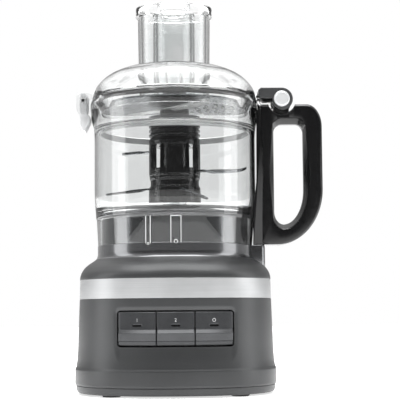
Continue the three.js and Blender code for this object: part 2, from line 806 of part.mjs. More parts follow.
// Lid: dome, edge, short inner skirt, feed tube, centre socket, hinge ears and latch cheeks.
function lidShell() {
  const edge = lidEdge;
  const outside = [
    [0, domeTop], [35.5, domeTop - 1.7], [55.4, domeTop - 6], [68.3, domeTop - 12.2],
    [76, domeTop - 18.5], [80.6, domeTop - 24], [83.4, domeTop - 30.5], [84.2, edge + 2], [83.8, edge],
    [lidSkirtRadius + 2.2, edge], [lidSkirtRadius + 1.8, lidSkirtBottom],
    [lidSkirtRadius + 0.2, lidSkirtBottom],
  ];
  const inside = [
    [lidSkirtRadius, edge + 1], [lidSkirtRadius + 3.6, edge + 8], [74.2, domeTop - 20], [67, domeTop - 14.2],
    [54.6, domeTop - 8.3], [35, domeTop - 4.1], [0, domeTop - lidWall],
  ];
  return turned([...outside, ...inside]);
}

function feedTube(outerWall) {
  const inset = outerWall ? 0 : tubeWall;
  const [bottom, top] = outerWall ? [tubeBottom, tubeTop] : [tubeBottom - past, tubeTop + past];
  const low = tubeHalfWidth - tubeDraft - inset;
  const high = tubeHalfWidth - inset;
  return tubeForm([[0, bottom], [low, bottom], [high, top], [0, top]]);
}

function hingeEars() {
  const from = lugHalfWidth + 0.4;
  const bar = outline([
    [74, lidEdge + 0.4], [88, lidEdge + 0.2], [90, lidBarBottom], [pinX - 9, lidBarBottom],
    [pinX - 4, pinZ - 10], [pinX, pinZ], [pinX - 6, pinZ + 6], [84, pinZ + 6], [74, pinZ + 6],
  ]);
  const ears = [-1, 1].flatMap((side) => {
    const y = side * (from + earWidth / 2);
    return [slab(bar, earWidth / 2, y), along(pinX, pinZ, earRadius, earWidth / 2).translate(0, y, 0)];
  });
  const bridge = box(74, pinX - 14, -from - 1, from + 1, pinZ + 1, pinZ + 6);
  return join(...ears, bridge);
}

function latchCheeks() {
  const shape = outline([
    [-78, lidEdge], [-87.2, lidEdge], [-87.2, lidEdge - 15], [-latchReach + 3, lidEdge - 15],
    [-latchReach, lidEdge - 11], [-latchReach, lidEdge + 6], [-latchReach + 4, lidEdge + 10.5],
    [-78, lidEdge + 10.5],
  ]);
  const y = leverHalfWidth + runningGap + cheekWidth / 2;
  return [slab(shape, cheekWidth / 2, y), slab(shape, cheekWidth / 2, -y)];
}

function lid() {
  const dome = lidShell();
  const inner = turned([[0, lidEdge - 40], [lidSkirtRadius, lidEdge - 40], [lidSkirtRadius + 2, lidEdge + 8],
    [74.6, domeTop - 20], [55, domeTop - 8], [0, domeTop - 2]]);
  const socket = cut(
    rod(socketRadius, stemTop + 3, domeTop - 1, 20),
    rod(socketBore, stemTop, domeTop - lidWall - 1.5, 20));
  const ears = cut(hingeEars(), inner);
  const pinBore = along(pinX, pinZ, pinRadius + seat, 30);
  const latchBore = along(latchPinX, latchPinZ, latchPinRadius + seat, 30, 12);
  const body = join(dome, feedTube(true), socket, ears, ...latchCheeks().map((cheek) => cut(cheek, inner)));
  return cut(body, feedTube(false), pinBore, latchBore);
}

function lidSeal() {
  const inner = lidSkirtRadius + 2.2 + seat;
  return turned([
    [inner, rim - 4.6], [inner + 1.6, rim - 4.6], [inner + 2.8, rim - 2.4], [inner + 2.6, rim], [inner, rim],
  ]);
}

// Hinge arm: two side skins over the ears, joined by a web over the lid's arm.
function hingeArm() {
  const half = earOuter + seat + armSkin;
  const shape = new THREE.Shape();
  shape.moveTo(pinX, pinZ - armRadius);
  shape.absarc(pinX, pinZ, armRadius, -Math.PI / 2, Math.PI / 2);
  shape.lineTo(86, pinZ + armRadius);
  shape.lineTo(86.6, pinZ + 1);
  shape.lineTo(pinX - 9.5, pinZ + 1);
  shape.lineTo(pinX - 9.5, pinZ - 6.5);
  shape.closePath();
  const body = slab(shape, half);
  const room = join(
    along(pinX, pinZ, armRadius + past, earOuter + seat, 24),
    box(80, pinX, -earOuter - seat, earOuter + seat, pinZ - 20, pinZ + 6 + seat));
  return cut(body, room, along(pinX, pinZ, pinRadius + seat, 30));
}

// Hinge pin: a shaft along Y with a wide bright head in front and a small one behind.
function hingePin() {
  const face = earOuter + seat + armSkin + seat;
  return turned([
    [0, -face - 1.6], [4.6, -face - 1.2], [4.6, -face], [pinRadius, -face], [pinRadius, face],
    [pinHeadRadius, face], [pinHeadRadius, face + 1.2], [pinHeadRadius - 1.4, face + 2], [0, face + 2],
  ], 16).rotateX(Math.PI / 2).translate(pinX, 0, pinZ);
}

function latchLever() {
  const x = latchPinX;
  const z = latchPinZ;
  const shape = outline([
    [x - 3.4, z - 25], [x - 0.8, z - 31.5], [x + 2, z - 31.5], [x + 7.3, z - 21], [x + 7.3, z - 16.5],
    [x + 3.7, z - 13.5], [x + 3.7, z + 4], [x + 2, z + 8.5], [x - 2.6, z + 8.5], [x - 3.4, z + 4],
  ]);
  return cut(slab(shape, leverHalfWidth), along(x, z, latchPinRadius + seat, 30, 12));
}

function latchPin() {
  return along(latchPinX, latchPinZ, latchPinRadius, leverHalfWidth + runningGap + cheekWidth, 12);
}

// Large pusher: an oval cup round an open tube, hung on its flange.
function largePusher() {
  const draft = tubeDraft;
  const outerTop = tubeHalfWidth - tubeWall - pusherGap;
  const outerLow = outerTop - draft;
  const flangeLow = tubeTop + 0.4;
  const flangeTop = flangeLow + pusherFlangeHeight;
  const wall = pusherWall;
  const cup = tubeForm([
    [0, pusherBottom], [outerLow, pusherBottom], [outerTop, flangeLow], [pusherFlangeHalfWidth, flangeLow],
    [pusherFlangeHalfWidth, flangeTop - 1.6], [pusherFlangeHalfWidth - 2, flangeTop],
    [outerTop - 0.5, flangeTop],
    [outerTop - wall, flangeTop - 4], [outerLow - wall, pusherBottom + 2.4], [0, pusherBottom + 2.4],
  ]);
  const tubeRadius = smallPusherRadius + pusherGap;
  const tube = rod(tubeRadius + wall, pusherBottom, innerTubeTop, 24).translate(0, tubeY, 0);
  const bore = rod(tubeRadius, pusherBottom - past, flangeTop + past, 24).translate(0, tubeY, 0);
  const flangeRoom = rod(smallFlangeRadius + 1, innerTubeTop, flangeTop + past, 24).translate(0, tubeY, 0);
  return cut(join(cup, tube), bore, flangeRoom);
}

function smallPusher() {
  const bottom = pusherBottom + 1;
  const flange = innerTubeTop + seat;
  const top = flange + 2.4 + capHeight;
  const wall = smallPusherWall;
  return turned([
    [0, bottom], [smallPusherRadius - 1, bottom], [smallPusherRadius - 0.4, bottom + 1],
    [smallPusherRadius, flange],
    [smallFlangeRadius, flange], [smallFlangeRadius, flange + 2], [capRadius + 1, flange + 2.6],
    [capRadius, top - 1], [capRadius - 0.8, top], [capRadius - wall, top],
    [capRadius - wall - 0.6, flange + 2], [smallPusherRadius - wall - 0.4, flange - 3],
    [smallPusherRadius - wall - 0.8, bottom + 2.2], [0, bottom + 2.2],
  ], 24).translate(0, tubeY, 0);
}

// Drive stem: a sleeve over the chimney, a hexagon for the spindle's tip and a pilot that the lid centres.
function driveStem() {
  const bottom = hubBottom;
  const bore = chimneyRadius + stemGap;
  const body = turned([
    [0, bottom], [stemRadius, bottom], [stemRadius, bottom + 50], [stemRadius - 0.8, stemShoulder],
    [stemNeckRadius, stemShoulder], [stemNeckRadius, stemTop - 1], [stemNeckRadius - 1, stemTop],
    [pilotRadius, stemTop], [pilotRadius, stemTop + 7], [pilotRadius - 1, stemTop + 8], [0, stemTop + 8],
  ], 20);
  const chimneyRoom = rod(bore, bottom - past, chimneyTop + 1.5, 20);
  const tipRoom = rod(spindleTipRadius + 0.45, bottom, spindleTop + 1, 6);
  return cut(body, chimneyRoom, tipRoom);
}

// Blade hub: a stepped sleeve with two posts between its lower part and its ribbed collar.
function bladeHub() {
  const inner = stemRadius + hubGap;
  const outer = hubRadius;
  const b = hubBottom;
  const ribs = [cageTop + 8, cageTop + 15].flatMap((z) => [
    [outer, z], [outer - 1.4, z + 1], [outer - 1.4, z + 3], [outer, z + 4],
  ]);
  const sleeve = turned([
    [inner, b], [outer + 0.6, b], [outer, b + 22], [outer - 1.6, b + 24], [outer - 1.6, b + 33],
    [outer, b + 34.5],
    ...ribs, [outer, hubTop - 1], [outer - 1, hubTop], [inner, hubTop],
  ], 20);
  const windows = [-1, 1].map((side) =>
    box(-30, 30, side > 0 ? postHalfWidth : -30, side > 0 ? 30 : -postHalfWidth, cageBottom, cageTop));
  const gallery = rod(postInner, cageBottom, cageTop, 20);
  const slots = blades.map((blade) => bladeArm(blade, seat));
  return cut(sleeve, ...windows, gallery, ...slots);
}

// Each blade: its direction in degrees from +X, its height and tip reach, and how far its tip rises.
const blades = [
  { name: "blade_lower_left", turn: 168, z: hubBottom + 20.5, reach: 70, rise: -6, sweep: 12, tipLift: 0 },
  { name: "blade_lower_front", turn: 288, z: hubBottom + 17, reach: 66, rise: -12, sweep: 12, tipLift: 0 },
  { name: "blade_upper_right", turn: 352, z: hubBottom + 38.6, reach: 73.5, rise: 0.6, sweep: 10, tipLift: 3 },
  { name: "blade_upper_left", turn: 192, z: cageTop - 7, reach: 56, rise: -3.4, sweep: 9, tipLift: 0 },
];

// A curved steel arm. With extra, the slot that it is held in: grown on every side and open past the hub.
function bladeArm({ turn, z, reach, rise, sweep, tipLift }, extra) {
  const root = hubRadius - 5.4 - extra;
  const bend = hubRadius + 3;
  const steps = extra ? 1 : 7;
  const centre = (r) => sweep * ((r - root) / (reach - root)) ** 2;
  const half = (r) => 6.5 - 4.2 * Math.max(0, (r - hubRadius) / (reach - hubRadius)) ** 2 + extra;
  const arm = new THREE.BoxGeometry(steps, 2, bladeThickness + 2 * extra, steps);
  const position = arm.attributes.position;
  for (let i = 0; i < position.count; i++) {
    const row = position.getX(i) + steps / 2;
    const share = Math.max(0, (row - 1) / (steps - 1 || 1));
    const radius = row < 1 ? root : bend + (reach - bend) * share;
    position.setX(i, radius);
    position.setY(i, centre(radius) + half(radius) * position.getY(i));
    position.setZ(i, position.getZ(i) + rise * share + tipLift * share ** 8);
  }
  return arm.rotateZ(THREE.MathUtils.degToRad(turn)).translate(0, 0, z);
}

// Disc: a steel plate with a slicing slot on one side and rows of shredding holes on the other.
function discPlate() {
  const [bottom, top] = [discUnder, discUnder + discThickness];
  const plate = ring(discRadius, stemNeckRadius + 3 + seat, bottom, top, 32);
  const slot = box(20, 66, -3, 3, bottom - past, top + past).rotateZ(THREE.MathUtils.degToRad(200));
  const holes = [0, 1, 2].flatMap((row) =>
    [0, 1, 2].map((i) =>
      rod(2.6, bottom - past, top + past, 6)
        .translate(32 + 13 * i + 4 * (row % 2), 0, 0)
        .rotateZ(THREE.MathUtils.degToRad(-38 + 26 * row))));
  return cut(plate, slot, ...holes);
}

function discHub() {
  const inner = stemNeckRadius + seat;
  const flange = discUnder + discThickness + seat;
  return turned([
    [inner, stemShoulder + seat], [stemNeckRadius + 3, stemShoulder + seat], [stemNeckRadius + 3, flange],
    [24, flange], [23, flange + 2], [stemNeckRadius + 2.4, flange + 3], [inner, flange + 3],
  ], 24);
}

add("base_shell", baseShell(), "greyPaint");
add("bottom_cover", bottomCover(), "darkPlastic");
add("trim_band", trimBand(), "brushedBand");
add("top_cover", topCover(), "greyPaint");
corners.forEach(([sx, sy], i) => {
  add(`foot_${i + 1}`, foot(), "rubber", [sx * footX, sy * footY, 0]);
  add(`base_screw_${i + 1}`, baseScrew(), "steel", [sx * screwX, sy * screwY, 0]);
});
add("cord_inlet", cordInlet(), "blackPlastic");
const bar = keyBar();
["1", "2", "pulse"].forEach((label, i) => {
  add(`paddle_key_${label}`, paddleKey(bar, i), "darkPlastic");
  add(`key_switch_${label}`, keySwitch(i), "blackPlastic");
});
add("control_board", controlBoard(), "board");
add("chassis", chassis(), "aluminium");
add("spindle_bearing_lower", bearing(lowerPlate), "steel");
add("spindle_bearing_upper", bearing(upperPlate + plateThickness - bearingHeight), "steel");
add("interlock_switch", interlockSwitch(), "blackPlastic");
add("drive_belt", driveBelt(), "rubber");
const motorPlace = [0, motorY, 0];
add("motor_stator", motorStator(), "aluminium", motorPlace);
add("field_winding_left", fieldWinding(-1), "copper", motorPlace);
add("field_winding_right", fieldWinding(1), "copper", motorPlace);
add("brush_holder_front", brushHolder(-1), "blackPlastic", motorPlace);
add("brush_holder_rear", brushHolder(1), "blackPlastic", motorPlace);
add("rotor_shaft", rotorShaft(), "steel", motorPlace);
add("armature", armature(), "aluminium", motorPlace);
add("commutator", commutator(), "copper", motorPlace);
add("cooling_fan", coolingFan(), "blackPlastic", motorPlace);
add("motor_pulley", motorPulley(), "steel", motorPlace);
add("spindle", spindle(), "steel");
add("spindle_pulley", spindlePulley(), "blackPlastic");
add("bowl", bowl(), "clearPlastic");
add("handle_grip", handleGrip(), "blackPlastic");
handleScrewHeights.forEach((z, i) => {
  add(`handle_screw_${i + 1}`, handleScrew(), "steel", [0, handleScrewY, z]);
});
add("lid", lid(), "clearPlastic");
add("lid_seal", lidSeal(), "rubber");
add("hinge_arm", hingeArm(), "darkPlastic");
add("hinge_pin", hingePin(), "steel");
add("latch_lever", latchLever(), "silverPlastic");
add("latch_pin", latchPin(), "steel");
add("large_pusher", largePusher(), "clearPlastic");
add("small_pusher", smallPusher(), "clearPlastic");
add("drive_stem", driveStem(), "blackPlastic");
add("blade_hub", bladeHub(), "blackPlastic");
blades.forEach((blade) => add(blade.name, bladeArm(blade, 0), "steel"));
add("disc_plate", discPlate(), "steel");
add("disc_hub", discHub(), "blackPlastic");

// The origin is under the middle of the whole machine, on the table.
const extent = new THREE.Box3().setFromObject(machine);
const middle = extent.getCenter(new THREE.Vector3());
machine.position.set(-middle.x, -middle.y, -extent.min.z);

const processor = new THREE.Group();
processor.add(machine);

export default processor;
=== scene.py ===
# A food processor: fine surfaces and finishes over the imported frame, a white studio and a camera.
# Lengths in the dictionaries are millimetres about the drive axis. +Z is up, the front looks to -Y and the
# handle to +X.
import math

import bmesh
import bpy
import numpy as np
from mathutils import Matrix, Vector


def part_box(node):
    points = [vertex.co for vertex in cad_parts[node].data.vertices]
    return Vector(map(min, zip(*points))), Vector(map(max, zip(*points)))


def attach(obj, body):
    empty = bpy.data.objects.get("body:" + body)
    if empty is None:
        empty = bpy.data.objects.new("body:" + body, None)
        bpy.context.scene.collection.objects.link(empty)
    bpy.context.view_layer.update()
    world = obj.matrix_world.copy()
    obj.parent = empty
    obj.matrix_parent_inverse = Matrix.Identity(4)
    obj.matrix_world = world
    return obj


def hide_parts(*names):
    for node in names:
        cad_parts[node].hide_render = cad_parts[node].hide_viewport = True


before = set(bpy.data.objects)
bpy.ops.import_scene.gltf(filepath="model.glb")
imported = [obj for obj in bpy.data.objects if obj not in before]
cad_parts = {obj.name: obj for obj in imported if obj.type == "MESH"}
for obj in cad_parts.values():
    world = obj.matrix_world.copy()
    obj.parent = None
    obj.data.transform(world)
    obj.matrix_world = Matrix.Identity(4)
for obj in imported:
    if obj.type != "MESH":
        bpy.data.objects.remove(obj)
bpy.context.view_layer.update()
print("frame loaded:", len(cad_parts), "nodes")

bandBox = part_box("trim_band")
axisX = 500 * (bandBox[0].x + bandBox[1].x)  # the drive axis in the row frame


def span(node):
    # lowest and highest corners of a node, in millimetres about the drive axis
    low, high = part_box(node)
    shift = np.array([axisX, 0, 0])
    return np.array(low) * 1000 - shift, np.array(high) * 1000 - shift


def linear(hexColour):
    # sRGB to linear light: c / 12.92 near black, ((c + 0.055) / 1.055) to the power 2.4 above it
    parts = [int(hexColour[i:i + 2], 16) / 255 for i in (1, 3, 5)]
    return [c / 12.92 if c <= 0.04045 else ((c + 0.055) / 1.055) ** 2.4 for c in parts] + [1]


def addNode(tree, kind, settings={}, links={}):
    # one node, with its settings or input values, and the sockets that feed it
    node = tree.nodes.new("ShaderNode" + kind)
    for key, value in settings.items():
        if isinstance(key, int) or key in node.inputs:
            node.inputs[key].default_value = value
        else:
            setattr(node, key, value)
    for key, socket in links.items():
        tree.links.new(socket, node.inputs[key])
    return node


def makeFinish(look):
    # a surface with soft patches of two shades and a fine grain that sets roughness and relief
    material = bpy.data.materials.new(look["name"])
    material.use_nodes = True
    tree = material.node_tree
    tree.nodes.clear()
    place = addNode(tree, "TexCoord").outputs["Object"]
    stretched = addNode(tree, "Mapping", {"Scale": look.get("stretch", (1, 1, 1))}, {"Vector": place})
    patches = addNode(tree, "TexNoise", {"Scale": 1000 / look["patchSize"], "Detail": 3.0}, {"Vector": place})
    grain = addNode(tree, "TexNoise", {"Scale": 1000 / look["grainSize"], "Detail": 4.0, "Roughness": 0.6},
                    {"Vector": stretched.outputs[0]})
    shade = addNode(tree, "MapRange", {"From Min": 0.3, "From Max": 0.7}, {"Value": patches.outputs[0]})
    tone = addNode(tree, "Mix", {"data_type": "RGBA", 6: linear(look["dark"]), 7: linear(look["light"])},
                   {0: shade.outputs[0]})
    darkest = 1 - look.get("streaks", 0.04)
    streak = addNode(tree, "MapRange", {"From Min": 0.35, "From Max": 0.65, "To Min": darkest, "To Max": 1.0},
                     {"Value": grain.outputs[0]})
    streaked = addNode(tree, "Mix", {"data_type": "RGBA", "blend_type": "MULTIPLY", 0: 1.0},
                       {6: tone.outputs[2], 7: streak.outputs[0]})
    low, high = look["roughness"]
    rough = addNode(tree, "MapRange", {"From Min": 0.3, "From Max": 0.7, "To Min": low, "To Max": high},
                    {"Value": grain.outputs[0]})
    relief = addNode(tree, "Bump", {"Strength": 0.6, "Distance": look["relief"] / 1000},
                     {"Height": grain.outputs[0]})
    feeds = {"Base Color": streaked.outputs[2], "Roughness": rough.outputs[0], "Normal": relief.outputs[0]}
    if look.get("turned"):  # lines that run round the drive axis
        feeds["Tangent"] = addNode(tree, "Tangent", {"direction_type": "RADIAL", "axis": "Z"}).outputs[0]
    shader = addNode(tree, "BsdfPrincipled", look.get("shader", {}), feeds)
    addNode(tree, "OutputMaterial", {}, {"Surface": shader.outputs[0]})
    return material


# Painted zinc and ABS: sprayed satin grey with a fine metal flake, so light falls off softly and edges glow a
# little.
satinGreyPaint = makeFinish({
    "name": "satin_grey_paint", "dark": "#3f4041", "light": "#474849", "patchSize": 60, "grainSize": 0.9,
    "streaks": 0.10, "roughness": (0.34, 0.42), "relief": 0.02,
    "shader": {"Metallic": 0.45, "Specular IOR Level": 0.6, "IOR": 1.5},
})

# The same paint polished under the clear bowl: sharp reflections of the lamps.
glossGreyPaint = makeFinish({
    "name": "gloss_grey_paint", "dark": "#6a6b6d", "light": "#727375", "patchSize": 50, "grainSize": 1.2,
    "streaks": 0.04, "roughness": (0.18, 0.24), "relief": 0.003,
    "shader": {"Metallic": 0.9, "IOR": 1.5, "Coat Weight": 1.0, "Coat Roughness": 0.03},
})

# Anodised aluminium, brushed round the band: long fine lines that spread the light up and down.
# Real lines are 0.1 mm apart; they are drawn 0.7 mm apart so that they show.
brushedAluminium = makeFinish({
    "name": "brushed_anodised_aluminium", "dark": "#b6b7b8", "light": "#c4c5c6", "patchSize": 45,
    "grainSize": 40, "stretch": (0.6, 0.6, 58), "streaks": 0.10, "roughness": (0.5, 0.58), "relief": 0.03,
    "turned": True,
    "shader": {"Metallic": 1.0, "Anisotropic": 0.55, "Anisotropic Rotation": 0.25},
})

# Polished black ABS: a deep black with a faint ripple from the mould.
glossBlackPlastic = makeFinish({
    "name": "polished_black_abs", "dark": "#0c0c0d", "light": "#111112", "patchSize": 25, "grainSize": 5,
    "streaks": 0.08, "roughness": (0.17, 0.24), "relief": 0.02, "shader": {"IOR": 1.5},
})

# Spark-eroded charcoal ABS: a fine even grain that takes the shine off.
satinCharcoalPlastic = makeFinish({
    "name": "spark_textured_charcoal_abs", "dark": "#38393a", "light": "#3f4041", "patchSize": 30,
    "grainSize": 0.7, "streaks": 0.10, "roughness": (0.36, 0.46), "relief": 0.03, "shader": {"IOR": 1.5},
})

# Keys: moulded ABS under the base's satin paint, a little glossier than the base.
keyPlastic = makeFinish({
    "name": "painted_key_abs", "dark": "#404143", "light": "#48494b", "patchSize": 18, "grainSize": 0.8,
    "streaks": 0.07, "roughness": (0.26, 0.36), "relief": 0.015, "shader": {"Metallic": 0.4, "IOR": 1.5},
})

# Clear copolyester: injection moulded and polished, with a slow flow ripple and a trace of smoke in the bowl.
clearBowlPlastic = makeFinish({
    "name": "clear_moulded_copolyester", "dark": "#eff0f0", "light": "#f4f5f5", "patchSize": 80,
    "grainSize": 22, "streaks": 0.01, "roughness": (0.0, 0.02), "relief": 0.02,
    "shader": {"Transmission Weight": 1.0, "IOR": 1.5},
})

clearLidPlastic = makeFinish({
    "name": "clear_lid_copolyester", "dark": "#fafbfb", "light": "#fefefe", "patchSize": 60, "grainSize": 16,
    "streaks": 0.01, "roughness": (0.0, 0.02), "relief": 0.02,
    "shader": {"Transmission Weight": 1.0, "IOR": 1.45},
})

# The same plastic with a fine matt frost and a near-white colour: painted highlight for the light that the
# skirt's ribs and the bowl's lip catch, so they read pale against the drum.
paleHighlightPlastic = makeFinish({
    "name": "copolyester_painted_highlight", "dark": "#e6e7e8", "light": "#f2f3f3", "patchSize": 20, "grainSize": 0.5,
    "streaks": 0.03, "roughness": (0.3, 0.4), "relief": 0.01,
    "shader": {"Transmission Weight": 0.15, "IOR": 1.5},
})

# Metallised silver ABS of the latch: pale with a soft satin shine.
silverPlastic = makeFinish({
    "name": "silver_painted_abs", "dark": "#e2e3e4", "light": "#eeeff0", "patchSize": 15, "grainSize": 0.8,
    "streaks": 0.05, "roughness": (0.28, 0.36), "relief": 0.01, "shader": {"Metallic": 0.35, "IOR": 1.5},
})

# Moulded nitrile rubber: matt, slightly chalky.
mattRubber = makeFinish({
    "name": "moulded_black_rubber", "dark": "#161616", "light": "#1f1f1f", "patchSize": 12, "grainSize": 0.6,
    "streaks": 0.15, "roughness": (0.6, 0.8), "relief": 0.05, "shader": {"IOR": 1.52},
})

# Polished stainless steel of the pin and screws: bright with a trace of turning marks.
polishedSteel = makeFinish({
    "name": "polished_stainless_steel", "dark": "#d4d5d6", "light": "#e2e3e4", "patchSize": 10,
    "grainSize": 3, "streaks": 0.04, "roughness": (0.12, 0.2), "relief": 0.004, "shader": {"Metallic": 1.0},
})

# Ground blade steel: fine lines from the belt along the blade.
groundSteel = makeFinish({
    "name": "ground_stainless_steel", "dark": "#6f7173", "light": "#8c8e90", "patchSize": 14, "grainSize": 9,
    "stretch": (1, 1, 14), "streaks": 0.2, "roughness": (0.16, 0.3), "relief": 0.02,
    "shader": {"Metallic": 1.0},
})

# Disc: stainless sheet with a mill finish, darker than the ground edges of the blades.
discSteel = makeFinish({
    "name": "mill_finish_stainless_sheet", "dark": "#55585a", "light": "#7c7f81", "patchSize": 38,
    "grainSize": 6, "stretch": (1, 9, 1), "streaks": 0.15, "roughness": (0.2, 0.34), "relief": 0.01,
    "shader": {"Metallic": 1.0},
})

# Cutting edges and teeth of the disc: fine-ground steel given a near-white colour and only half metal, so it
# reads bright at every angle: painted glints.
steelWithPaintedGlints = makeFinish({
    "name": "steel_with_painted_glints", "dark": "#dcdddd", "light": "#efefef", "patchSize": 6,
    "grainSize": 0.6, "streaks": 0.08, "roughness": (0.2, 0.34), "relief": 0.01,
    "shader": {"Metallic": 0.45, "IOR": 1.5},
})

# Stacked lamination steel and die-cast aluminium inside the base: dull and grey.
castMetal = makeFinish({
    "name": "die_cast_aluminium", "dark": "#85888a", "light": "#9a9c9e", "patchSize": 20, "grainSize": 1.4,
    "streaks": 0.2, "roughness": (0.45, 0.6), "relief": 0.08, "shader": {"Metallic": 1.0},
})

# Enamelled copper wire: warm brown under clear varnish.
enamelledCopper = makeFinish({
    "name": "enamelled_copper_wire", "dark": "#7a3f1e", "light": "#9c5a2c", "patchSize": 8, "grainSize": 0.9,
    "stretch": (1, 1, 4), "streaks": 0.3, "roughness": (0.25, 0.4), "relief": 0.1,
    "shader": {"Metallic": 0.9},
})

# Glass-fibre circuit board under green solder resist.
greenBoard = makeFinish({
    "name": "green_circuit_board", "dark": "#1f4a30", "light": "#2c5c3e", "patchSize": 9, "grainSize": 1.0,
    "streaks": 0.15, "roughness": (0.4, 0.55), "relief": 0.03, "shader": {"IOR": 1.5},
})

# Pad-printed light grey ink of the marks on the keys.
printedInk = makeFinish({
    "name": "pad_printed_grey_ink", "dark": "#c3c4c5", "light": "#d2d3d4", "patchSize": 4, "grainSize": 0.5,
    "streaks": 0.08, "roughness": (0.45, 0.55), "relief": 0.01, "shader": {"IOR": 1.5},
})
print("finishes made")


def smooth(value, start, end):
    # 0 before start, 1 past end, 3t^2 - 2t^3 between
    t = np.clip((np.asarray(value, float) - start) / (end - start), 0, 1)
    return t * t * (3 - 2 * t)


def softened(corners, reach, steps=4, closed=True):
    # each corner becomes a parabola from a point reach before it to one reach after it
    corners = np.asarray(corners, float)
    before = np.roll(corners, 1, 0) - corners
    after = np.roll(corners, -1, 0) - corners
    lengthBefore = np.linalg.norm(before, axis=1)
    lengthAfter = np.linalg.norm(after, axis=1)
    reach = np.minimum(np.broadcast_to(reach, len(corners)), 0.45 * np.minimum(lengthBefore, lengthAfter))
    if not closed:
        reach = np.where(np.arange(len(corners)) % (len(corners) - 1) == 0, 0, reach)
    start = corners + before * (reach / lengthBefore)[:, None]
    end = corners + after * (reach / lengthAfter)[:, None]
    t = np.linspace(0, 1, steps + 1)[None, :, None]
    curve = (1 - t) ** 2 * start[:, None] + 2 * t * (1 - t) * corners[:, None] + t ** 2 * end[:, None]
    points = curve.reshape(-1, corners.shape[1])
    apart = np.linalg.norm(points - np.roll(points, 1, 0), axis=1) > 1e-6
    return points[apart]


def spaced(points, step):
    # points added along a line so that none are more than step apart; the old ones stay
    points = np.asarray(points, float)
    along = np.r_[0, np.cumsum(np.linalg.norm(np.diff(points, axis=0), axis=1))]
    places = np.union1d(along, np.arange(0, along[-1], step))
    return np.stack([np.interp(places, along, points[:, k]) for k in range(points.shape[1])], -1)


def around(points, step):
    # the same for a closed outline
    return spaced(np.vstack([points, points[:1]]), step)[:-1]


def insetOutline(points, amount):
    # each point moves along the mean of its two sides' normals, inwards when the outline runs anticlockwise
    side = np.roll(points, -1, 0) - points
    side /= np.maximum(np.linalg.norm(side, axis=1), 1e-9)[:, None]
    normal = np.stack([-side[:, 1], side[:, 0]], -1)
    mean = normal + np.roll(normal, 1, 0)
    mean /= np.maximum(np.linalg.norm(mean, axis=1), 1e-9)[:, None]
    lean = np.maximum(np.sum(mean * normal, axis=1), 0.5)
    return points + mean * (amount / lean)[:, None]


def anticlockwise(points):
    # the outline itself, or turned end to end when the area it runs round comes out negative
    after = np.roll(points, -1, 0)
    area = np.sum(points[:, 0] * after[:, 1] - after[:, 0] * points[:, 1])
    return points if area > 0 else points[::-1]


def gridFaces(rows, columns, loop):
    # face i, j joins rows i and i + 1 and columns j and j + 1; columns go round, rows too when loop is true
    index = np.arange(rows * columns).reshape(rows, columns)
    near = index if loop else index[:-1]
    far = np.roll(index, -1, 0) if loop else index[1:]
    return np.stack([near, np.roll(near, -1, 1), np.roll(far, -1, 1), far], -1).reshape(-1, 4)


def gridPart(grid, loop=True, caps=False):
    # points and faces of a grid of rows, columns and 3; caps close the first and last rows with one face each
    rows, columns = grid.shape[:2]
    faces = gridFaces(rows, columns, loop).tolist()
    if caps:
        faces.append(list(range(columns)))
        faces.append(list(range((rows - 1) * columns, rows * columns))[::-1])
    return grid.reshape(-1, 3), faces


def addPiece(name, parts, finish, body, replaced=(), sharp=32):
    # one mesh from several closed parts, put in the row frame in metres, seams merged and faces turned outwards
    points, faces, start = [], [], 0
    for partPoints, partFaces in parts:
        points.append(np.asarray(partPoints, float))
        faces += [[start + i for i in face] for face in partFaces]
        start += len(partPoints)
    points = (np.concatenate(points) + [axisX, 0, 0]) / 1000
    mesh = bpy.data.meshes.new(name)
    mesh.from_pydata(points, [], faces)
    work = bmesh.new()
    work.from_mesh(mesh)
    bmesh.ops.remove_doubles(work, verts=work.verts, dist=2e-6)
    bmesh.ops.dissolve_degenerate(work, edges=work.edges, dist=1e-7)
    bmesh.ops.recalc_face_normals(work, faces=work.faces)
    work.to_mesh(mesh)
    work.free()
    mesh.shade_smooth()
    mesh.set_sharp_from_angle(angle=math.radians(sharp))
    piece = bpy.data.objects.new(name, mesh)
    bpy.context.scene.collection.objects.link(piece)
    mesh.materials.append(finish)
    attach(piece, body)
    if replaced:
        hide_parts(*replaced)
    return piece


def turnedPart(profile, angles, centre=(0, 0)):
    # a profile of radius and height carried round a vertical axis
    profile = np.asarray(profile, float)
    radius, height = profile[:, :1], profile[:, 1:]
    x = centre[0] + radius * np.cos(angles)
    y = centre[1] + radius * np.sin(angles)
    return gridPart(np.stack([x, y, height + 0 * x], -1))


def crossTurnedPart(profile, angles, centre):
    # a profile of radius and y carried round an axis along Y through centre
    profile = np.asarray(profile, float)
    radius, depth = profile[:, :1], profile[:, 1:]
    x = centre[0] + radius * np.cos(angles)
    z = centre[1] + radius * np.sin(angles)
    return gridPart(np.stack([x, depth + 0 * x, z], -1))


def prismPart(outline, low, high, edge, upright=False):
    # an outline carried from low to high along Y (or Z when upright), its rims rounded by insets on a quarter
    # circle
    outline = anticlockwise(np.asarray(outline, float))
    turn = np.linspace(0, math.pi / 2, 4)
    insets = edge * (1 - np.sin(turn))
    lifts = edge * (1 - np.cos(turn))
    rows = [(inset, low + lift) for inset, lift in zip(insets, lifts)]
    rows += [(inset, high - lift) for inset, lift in zip(insets[::-1], lifts[::-1])]
    grid = []
    for inset, height in rows:
        flat = insetOutline(outline, inset)
        third = np.full(len(flat), height)
        order = [flat[:, 0], flat[:, 1], third] if upright else [flat[:, 0], third, flat[:, 1]]
        grid.append(np.stack(order, -1))
    return gridPart(np.array(grid), loop=False, caps=True)


def roundedBox(x1, x2, y1, y2, corner, steps=5):
    # a rectangle with softened corners
    return softened([[x1, y1], [x2, y1], [x2, y2], [x1, y2]], corner * 1.2, steps)


fullTurn = np.linspace(0, 2 * math.pi, 192, endpoint=False)
pinTurn = np.linspace(0, 2 * math.pi, 72, endpoint=False)

